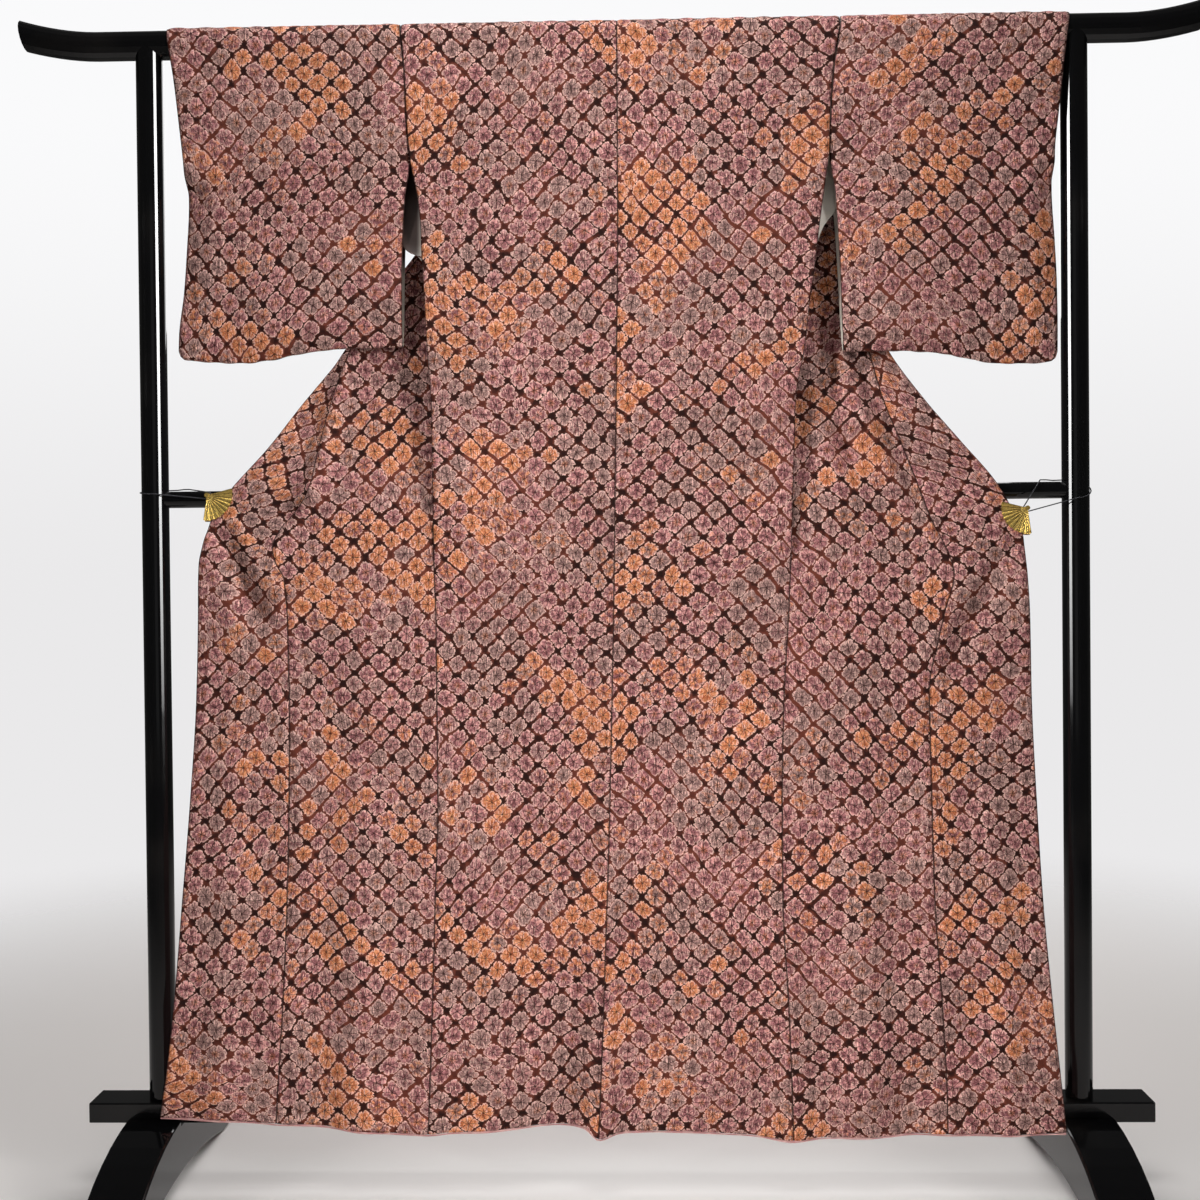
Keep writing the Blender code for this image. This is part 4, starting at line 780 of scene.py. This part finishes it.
# half the body, from the back's hem over the bar to the front's hem, and its places on flat cloth
def bodySheet(side, columns=64):
    def across(z):
        return np.linspace(centreSeam(z), side.sign * side.out("back", z), columns)

    rows, flats = [], []
    levels = heightsBetween(cloth["hemLevel"], barTop)
    for z in levels[:-1]:
        xs = across(z)
        rows.append([(x, backDepth(x, z), atHem(x, z)) for x in xs])
        flats.append([(abs(x - xs[0]), atHem(x, z)) for x in xs])
    xs = across(barTop)
    for angle, y, z in overTheBar():
        rows.append([(x, y, z) for x in xs])
        flats.append([(abs(x - xs[0]), barTop + overBar * (pi - angle)) for x in xs])
    around = 2 * barTop + pi * overBar
    upright = -side.sign * centreSeam(barTop)
    turned = upright + 2 * side.out("fold", cloth["flapTop"])
    for z in levels[-2::-1]:
        path = shareOut(side.frontPath(z), columns)
        turn = int(path[:, 0].argmin())
        inner, fold, outer = path[0, 0], path[turn, 0], path[-1, 0]
        innerZ = side.out("innerZ", z)
        shift = turned - 2 * fold if z < cloth["flapTop"] else upright
        row, flat = [], []
        for index, (out, y) in enumerate(path):
            x, height = side.sign * out, z
            if z >= cloth["neckTop"]:
                height = innerZ + (z - innerZ) * (out - inner) / (outer - inner)
            row.append((x, y, atHem(x, height)))
            fromFold = out if index > turn else 2 * fold - out
            flat.append((fromFold + shift, around - row[-1][2]))
        rows.append(row)
        flats.append(flat)
    return np.array(rows), np.array(flats)


# the overlap's threads follow its front edge, which the clip draws aside
def okumiSheet(side, columns=34, window=17, follow=0.6):
    levels = heightsBetween(cloth["hemLevel"], cloth["overlapTop"])[::-1]
    edges = np.array([side.out("edge", z) for z in levels])
    slope = np.pad(np.gradient(edges, levels), window // 2, "edge")
    lean = np.arctan(-np.convolve(slope, np.full(window, 1 / window), "valid")) * follow
    run = np.append(0.0, np.cumsum(np.hypot(np.diff(edges), np.diff(levels))))
    rows, flats = [], []
    for z, edge, angle, down in zip(levels, edges, lean, run):
        inner = side.out("okumi", z)
        outs = np.linspace(inner, max(edge, inner + wall), columns)
        first = side.hiddenStart(z)[-1]
        rows.append([
            (side.sign * out, side.outerLegDepth(out, z, first), atHem(side.sign * out, z))
            for out in outs
        ])
        flats.append([
            ((edge - out) * cos(angle), down - (edge - out) * sin(angle)) for out in outs
        ])
    return np.array(rows), np.array(flats)


collar = {
    "wall": 0.003,
    "width": 0.055,
    "foot": 0.88,
    "top": 1.706,
    "space": 0.0016,  # behind the front
    "reach": 0.014,  # it clears what lies this far to either side
    "reachFade": 0.03,
    "inset": 0.001,  # from the front's edge
    "overlap": 0.008,  # over the neck's edge
    "overlapFrom": 1.50,
    "overlapFade": 0.10,
    "smoothings": 6,  # of the line it follows
    "bridgings": 8,  # the band is stiff, so it bridges small steps of the front
}


# the collar follows both front edges and the back of the neck, and hangs behind them
def collarSheet(look, columns=13):
    halves = [
        [(side, side.sign * side.out("edge", z), side.out("innerZ", z), z)
         for z in heightsBetween(look["foot"], look["top"])] for side in sides
    ]
    line = halves[0] + [(sides[0], centreSeam(barTop), barTop, barTop)] + halves[1][::-1]
    along = np.gradient(np.array([(x, z) for _, x, z, _ in line]), axis=0)
    for _ in range(look["smoothings"]):
        along[1:-1] = (along[:-2] + 2 * along[1:-1] + along[2:]) / 4
    along /= np.linalg.norm(along, axis=1)[:, None]
    behind = (wall + look["wall"]) / 2 + look["space"]
    rows = []
    for (side, x, innerZ, z), (alongX, alongZ) in zip(line, along):
        over = look["overlap"] * ease((z - look["overlapFrom"]) / look["overlapFade"])
        row = []
        for move in np.linspace(look["inset"] - over, look["width"], columns):
            placeX, placeZ = x + alongZ * move, innerZ - alongX * move
            y = overBar
            if z <= cloth["neckTop"]:
                away = min(dist((placeX, placeZ), (c.hubX, c.hubZ)) for c in clips)
                reach = look["reach"] * ease((away - grip["fan"]) / look["reachFade"])
                out, fold = placeX * side.sign, side.out("fold", z)
                near = (max(out + off, fold) for off in (-reach, 0.0, reach))
                y = max(side.outerLegDepth(each, placeZ) for each in near)
            row.append((placeX, y + behind, placeZ))
        rows.append(row)
    rows = np.array(rows)
    for _ in range(look["bridgings"]):
        rows[1:-1, :, 1] = np.maximum(
            rows[1:-1, :, 1], (rows[:-2, :, 1] + 2 * rows[1:-1, :, 1] + rows[2:, :, 1]) / 4
        )
    return rows, None


sleeve = {
    "foot": 1.22,  # the rows are drawn to the lower edge from this height
    "footRows": (1.22, 1.2209, 1.2225),
    "closedHalf": 0.0035,  # half the depth where the two layers are sewn
    "evenFrom": 1.2245,
    "closing": 0.030,  # they come together over this height
    "cuffOpening": 1.49,
    "cuffFrom": 0.86,  # and along the cuff over this share of the width
    "rimShare": 0.012,  # the edges themselves are rounded
    "rimHeight": 0.004,
    "rimLeast": 0.12,
    "farAside": 0.03,  # the far layer's creases are shifted and weaker
    "farShare": 0.7,
}


# one sleeve is a bag: the loop of its near layer, the bar and its far layer
def sleeveSheet(side, look, columns=72):
    def edge(kind, z):
        return sleeveEdges.at(side.name + kind, z)

    def rounded(depth, part):
        return depth * sqrt(max(look["rimLeast"], 1 - max(0.0, part) ** 2))

    def row(height, layer):
        made = []
        for share in np.linspace(0, 1, columns):
            bottom = sleeveHems.at(side.name, share)
            z = bottom + (height - look["foot"]) * (barTop - bottom) / (barTop - look["foot"])
            inner, outer = edge("Inner", z), edge("Outer", z)
            x = side.sign * (inner + (outer - inner) * share)
            near, far = hangs.at("nearSleeve", z), hangs.at("farSleeve", z)
            if layer < 0:
                near -= relief(x, z, sleeveFolds) + relief(x, z, sleeveCreases)
            else:
                far -= relief(x + look["farAside"], z, sleeveCreases) * look["farShare"]
            half, closed = (far - near) / 2, look["closedHalf"]
            closing = ease(1 - (z - bottom) / look["closing"])
            cuffEnd = look["cuffOpening"] + look["closing"]
            if z < cuffEnd:
                sewn = ease((cuffEnd - z) / look["closing"])
                along = ease((share - look["cuffFrom"]) / (1 - look["cuffFrom"]))
                closing = max(closing, sewn * along)
                closed = rounded(closed, (1 - (1 - share) / look["rimShare"]) * sewn)
            closed = rounded(closed, 1 - (z - bottom) / look["rimHeight"])
            half += (closed - half) * closing
            made.append((x, (near + far) / 2 + layer * half, z))
        return made

    levels = list(look["footRows"]) + list(heightsBetween(look["evenFrom"], barTop)[:-1])
    rows = [row(z, -1) for z in levels]
    for _, y, z in overTheBar():
        outs = np.linspace(edge("Inner", z), edge("Outer", z), columns)
        rows.append([(side.sign * out, y, z) for out in outs])
    rows += [row(z, 1) for z in reversed(levels)]
    return np.array(rows), None


# each point's place on the flat cloth, in cells of the pattern, and its distances from the side
# edges. The threads stray a little from straight lines
def layFlat(grid, flats, seed):
    steps = np.linalg.norm(np.diff(grid, axis=1), axis=2)
    across = np.concatenate([np.zeros((len(grid), 1)), np.cumsum(steps, axis=1)], axis=1)
    edges = np.stack([across, across[:, -1:] - across], axis=2)
    if flats is None:
        down = np.median(np.linalg.norm(np.diff(grid, axis=0), axis=2), axis=1)
        along = np.append(0.0, np.cumsum(down))[:, None] + np.zeros_like(across)
    else:
        across, along = flats[..., 0], flats[..., 1]
    pull = np.random.RandomState(seed).uniform(0, 6.28, 6)
    fine, wide = dyedSilk["fineStray"], dyedSilk["wideStray"]
    strayA = fine * np.sin(along / 0.031 + 2.0 * np.sin(across / 0.06 + pull[0]) + pull[1])
    strayB = fine * np.sin(across / 0.027 + 2.0 * np.sin(along / 0.075 + pull[2]) + pull[3])
    strayA += wide * np.sin(along / 0.16 + pull[4] + across / 0.12)
    strayB += wide * np.sin(across / 0.10 + pull[5] - along / 0.19)
    period = dyedSilk["cell"] * sqrt(2)
    places = np.stack([across + strayA, along + strayB], axis=2) / period
    return places + np.array([seed * 7.31, seed * 3.17]), edges


# each rosette is a small dome, and the cloth dips along its seams
def puckers(places, edges):
    slantA, slantB = places[..., 0] + places[..., 1], places[..., 0] - places[..., 1]
    inA, inB = slantA % 1 - 0.5, slantB % 1 - 0.5
    chance = np.sin(np.floor(slantA) * 12.9898 + np.floor(slantB) * 78.233) * 43758.5453
    dome = np.clip(1 - (inA ** 2 + inB ** 2) / 0.23, 0, 1) * (0.7 + 0.6 * (chance % 1))
    near = np.minimum(edges[..., 0], edges[..., 1])
    dip = cloth["seamDip"] * np.exp(-((near / cloth["seamDipWidth"]) ** 2))
    return dyedSilk["pucker"] * dome * np.clip(near / cloth["flatEdge"], 0, 1) - dip


def outwardOf(grid, facing, looped):
    down = np.gradient(grid, axis=0)
    if looped:
        down[0], down[-1] = grid[1] - grid[-1], grid[0] - grid[-2]
    normal = np.cross(np.gradient(grid, axis=1), down) * facing
    return normal / np.maximum(np.linalg.norm(normal, axis=2), 1e-9)[..., None]


def quadsOf(rows, columns, flip, looped=False):
    across, down = np.meshgrid(np.arange(columns - 1), np.arange(rows if looped else rows - 1))
    this, following = down * columns + across, (down + 1) % rows * columns + across
    quads = np.stack([this, this + 1, following + 1, following], axis=2).reshape(-1, 4)
    return quads[:, ::-1] if flip else quads


def meshPiece(name, points, quads, maps, finish):
    mesh = bpy.data.meshes.new(name)
    mesh.from_pydata(points.tolist(), [], quads.tolist())
    corners = np.empty(len(mesh.loops), dtype=np.int64)
    mesh.loops.foreach_get("vertex_index", corners)
    for mapName, values in maps.items():
        layer = mesh.uv_layers.new(name=mapName)
        layer.data.foreach_set("uv", values[corners].astype(np.float32).ravel())
    mesh.shade_smooth()
    mesh.materials.append(finish)
    piece = addObject(name, mesh)
    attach(piece, "root")
    return piece


# the silk of one sheet, turned in round its edges, and the lining behind it
def dressSheet(name, sheet, facing, seed, looped=False, lined=True, thick=wall):
    grid, flats = sheet
    rows, columns = grid.shape[:2]
    places, edges = layFlat(grid, flats, seed)
    outward = outwardOf(grid, facing, looped)
    front = grid + outward * (thick / 2 + puckers(places, edges))[..., None]
    beyond = -cloth["tuckedUnder"] if lined else cloth["liningDepth"]
    back = grid - outward * (thick / 2 + beyond)
    flip = facing < 0
    innerQuads = quadsOf(rows, columns, not flip, looped)
    if lined:  # a strip of the silk turns in under the lining
        first, strip = innerQuads.min(axis=1), cloth["strip"]
        quadRow, quadColumn = np.divmod(first, columns)
        inStrip = (quadColumn < strip) | (quadColumn >= columns - 1 - strip)
        if looped:
            inStrip |= innerQuads.max(axis=1) - first > 2 * columns
        else:
            inStrip |= (quadRow < strip) | (quadRow >= rows - 1 - strip)
        innerQuads = innerQuads[inStrip]
    shift = rows * columns
    quads = [quadsOf(rows, columns, flip, looped), innerQuads + shift]
    starts = np.arange(rows) * columns
    rim = [starts, starts + columns - 1]
    if not looped:
        rim += [np.arange(columns), shift - columns + np.arange(columns)]
    for index, line in enumerate(rim):
        ring = np.append(line, line[0]) if looped else line
        quad = np.stack([ring[:-1], ring[1:], ring[1:] + shift, ring[:-1] + shift], axis=1)
        quads.append(quad[:, ::-1] if (index in (1, 2)) != flip else quad)
    used, renumbered = np.unique(np.concatenate(quads), return_inverse=True)

    def twice(values):
        return np.concatenate([values.reshape(-1, 2)] * 2)[used]

    points = np.concatenate([front.reshape(-1, 3), back.reshape(-1, 3)])[used]
    maps = {"Cloth": twice(places), "Edge": twice(edges)}
    silk = meshPiece(name, points, renumbered.reshape(-1, 4), maps, finishes["silk"])
    if not lined:
        return silk, None
    kept = [
        np.unique(np.append(np.arange(0, count, cloth["liningStep"]), count - 1))
        for count in (rows, columns)
    ]
    inside = (grid - outward * (thick / 2 - cloth["liningDepth"]))[np.ix_(*kept)]
    lining = meshPiece(
        name + "Lining", inside.reshape(-1, 3), quadsOf(len(kept[0]), len(kept[1]), not flip),
        {"Cloth": places[np.ix_(*kept)].reshape(-1, 2)}, finishes["lining"],
    )
    return silk, lining


def makeCloth(cut, name, node, restsOn, sheet, facing, seed, **form):
    silk, lining = dressSheet(name, sheet, facing, seed, **form)
    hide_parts(node)
    print(name, len(silk.data.polygons), "faces")


for number, side in enumerate(sides):
    which, sign = side.name.capitalize(), side.sign
    makeCloth(
        "body", "body" + which, "body_" + side.name, ["top_bar"], bodySheet(side), sign, 1 + number,
    )
    makeCloth(
        "okumi", "okumi" + which, "okumi_" + side.name, ["body" + which], okumiSheet(side), -sign,
        3 + number,
    )
    makeCloth(
        "sleeve", "sleeve" + which, "sleeve_" + side.name, ["top_bar"], sleeveSheet(side, sleeve),
        sign, 5 + number, looped=True,
    )
makeCloth(
    "collar", "neckBand", "collar", ["bodyLeft", "bodyRight"], collarSheet(collar), 1, 7,
    lined=False, thick=collar["wall"],
)
print("cloth made")

hemRoll = {
    "radius": 0.0015,
    "swell": 0.0004,
    "sides": 8,
    "step": 0.006,
    "inset": 0.001,  # from the corners of the hem
    "below": 0.0021,
}


# the padded edge of the lining that shows below the hem
def makeHemRoll(look):
    level = cloth["hemLevel"]
    left, right = (side.sign * (side.out("edge", level) - look["inset"]) for side in sides)
    xs = np.linspace(left, right, int((right - left) / look["step"]))
    points = []
    for turn in np.linspace(0, tau, look["sides"], endpoint=False):
        for x in xs:
            radius = look["radius"] + look["swell"] * sin(x * 61 + 2 * sin(x * 17))
            y, z = backDepth(x, level), hems.at("z", x) - look["below"]
            points.append((x, y + radius * cos(turn), z + radius * sin(turn)))
    quads = quadsOf(look["sides"], len(xs), True, looped=True)
    piece = meshPiece("hemRoll", np.array(points), quads, {}, finishes["trim"])
    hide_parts("hem_roll")


makeHemRoll(hemRoll)
print("hem roll made")

# the stand, the clips and the cords keep their solids and take a finish each
nodeFinishes = {
    "lacquer": (
        "top_bar", "post_left", "post_right", "mid_rail", "base_board", "foot_left", "foot_right",
    ),
    "giltLeft": ("clip_left",),
    "giltRight": ("clip_right",),
    "cord": ("clip_cord_left", "clip_cord_right"),
}
for finishName, nodeNames in nodeFinishes.items():
    for nodeName in nodeNames:
        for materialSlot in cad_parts[nodeName].material_slots:
            materialSlot.material = finishes[finishName]
print("stand finished")

studio = {
    "backdrop": "#eae9ea",
    "backdropHigh": "#fafafb",
    "around": "#f6f4f2",  # lights the object from all sides
    "ambient": 0.09,
    "floor": "#f6f1ee",
    "floorRadius": 3.2,
    "floorCorners": 48,
    "floorClear": 1.1,  # the floor fades into the backdrop from here outwards
    "floorGone": 3.04,
    "lamps": (  # name, place, aim, width, height, power, spread in degrees
        ("leftKey", (-2.0, -1.6, 1.7), (0.80, 0.0, 0.95), 0.4, 2.6, 9.2, 40),
        ("rightKey", (2.0, -1.6, 1.7), (-0.80, 0.0, 0.95), 0.4, 2.6, 9.2, 40),
        ("fillLamp", (0.0, -3.2, 1.3), (0.0, 0.0, 0.80), 2.0, 2.0, 3.0, 180),
        ("backLamp", (0.3, 2.8, 2.9), (0.0, 0.0, 1.0), 2.4, 2.4, 70.0, 180),
        ("topLamp", (0.0, -0.4, 3.6), (0.0, 0.0, 0.9), 2.0, 2.0, 44.0, 180),
        ("leftStrip", (-2.3, -0.9, 1.1), (-0.7, 0.0, 0.9), 0.10, 1.9, 3.0, 180),
        ("rightStrip", (2.3, -0.9, 1.1), (0.7, 0.0, 0.9), 0.10, 1.9, 3.0, 180),
    ),
}


def makeFloor(look):
    corners = np.linspace(0, tau, look["floorCorners"], endpoint=False)
    radius = look["floorRadius"]
    points = [(radius * cos(turn), radius * sin(turn), 0.0) for turn in corners]
    mesh = bpy.data.meshes.new("paleFloor")
    mesh.from_pydata(points, [], [range(len(points))])
    floor = addObject("paleFloor", mesh)
    finish = Finish("paleFloor")
    away = finish.node("VectorMath", {"operation": "LENGTH"}, {0: finish.place()}, 1)
    paint = finish.node("BsdfPrincipled", {}, {"Base Color": look["floor"], "Roughness": 0.45})
    clear = finish.node("BsdfTransparent", {}, {})
    fade = finish.smooth(away, look["floorClear"], look["floorGone"])
    both = finish.node("MixShader", {}, {0: fade, 1: paint, 2: clear})
    finish.node("OutputMaterial", {}, {0: both})
    mesh.materials.append(finish.material)


def makeLamps(look):
    for name, place, aim, width, height, power, spread in look["lamps"]:
        data = bpy.data.lights.new(name, "AREA")
        data.shape = "RECTANGLE"
        data.size, data.size_y = width, height
        data.energy = power
        data.spread = radians(spread)
        lamp = addObject(name, data)
        lamp.location = place
        lamp.rotation_mode = "QUATERNION"
        lamp.rotation_quaternion = (Vector(place) - Vector(aim)).to_track_quat("Z", "Y")
        lamp.visible_camera = False


def makeWorld(look):
    world = bpy.data.worlds.new("paleRoom")
    bpy.context.scene.world = world
    world.use_nodes = True
    room = Finish("paleRoom", world)
    seen = room.node("LightPath", {}, {})
    around = room.node("Background", {}, {"Color": look["around"], "Strength": look["ambient"]})
    _, _, height = room.apart(room.node("TexCoord", {}, {}))
    high = room.smooth(height, -0.02, 0.32)
    sky = room.mix(high, look["backdrop"], look["backdropHigh"])
    behind = room.node("Background", {}, {"Color": sky, "Strength": 1.0})
    room.node("OutputWorld", {}, {0: room.node("MixShader", {}, {0: seen, 1: around, 2: behind})})
    bpy.context.scene.view_settings.view_transform = "Standard"


makeFloor(studio)
makeLamps(studio)
makeWorld(studio)
print("studio lit")
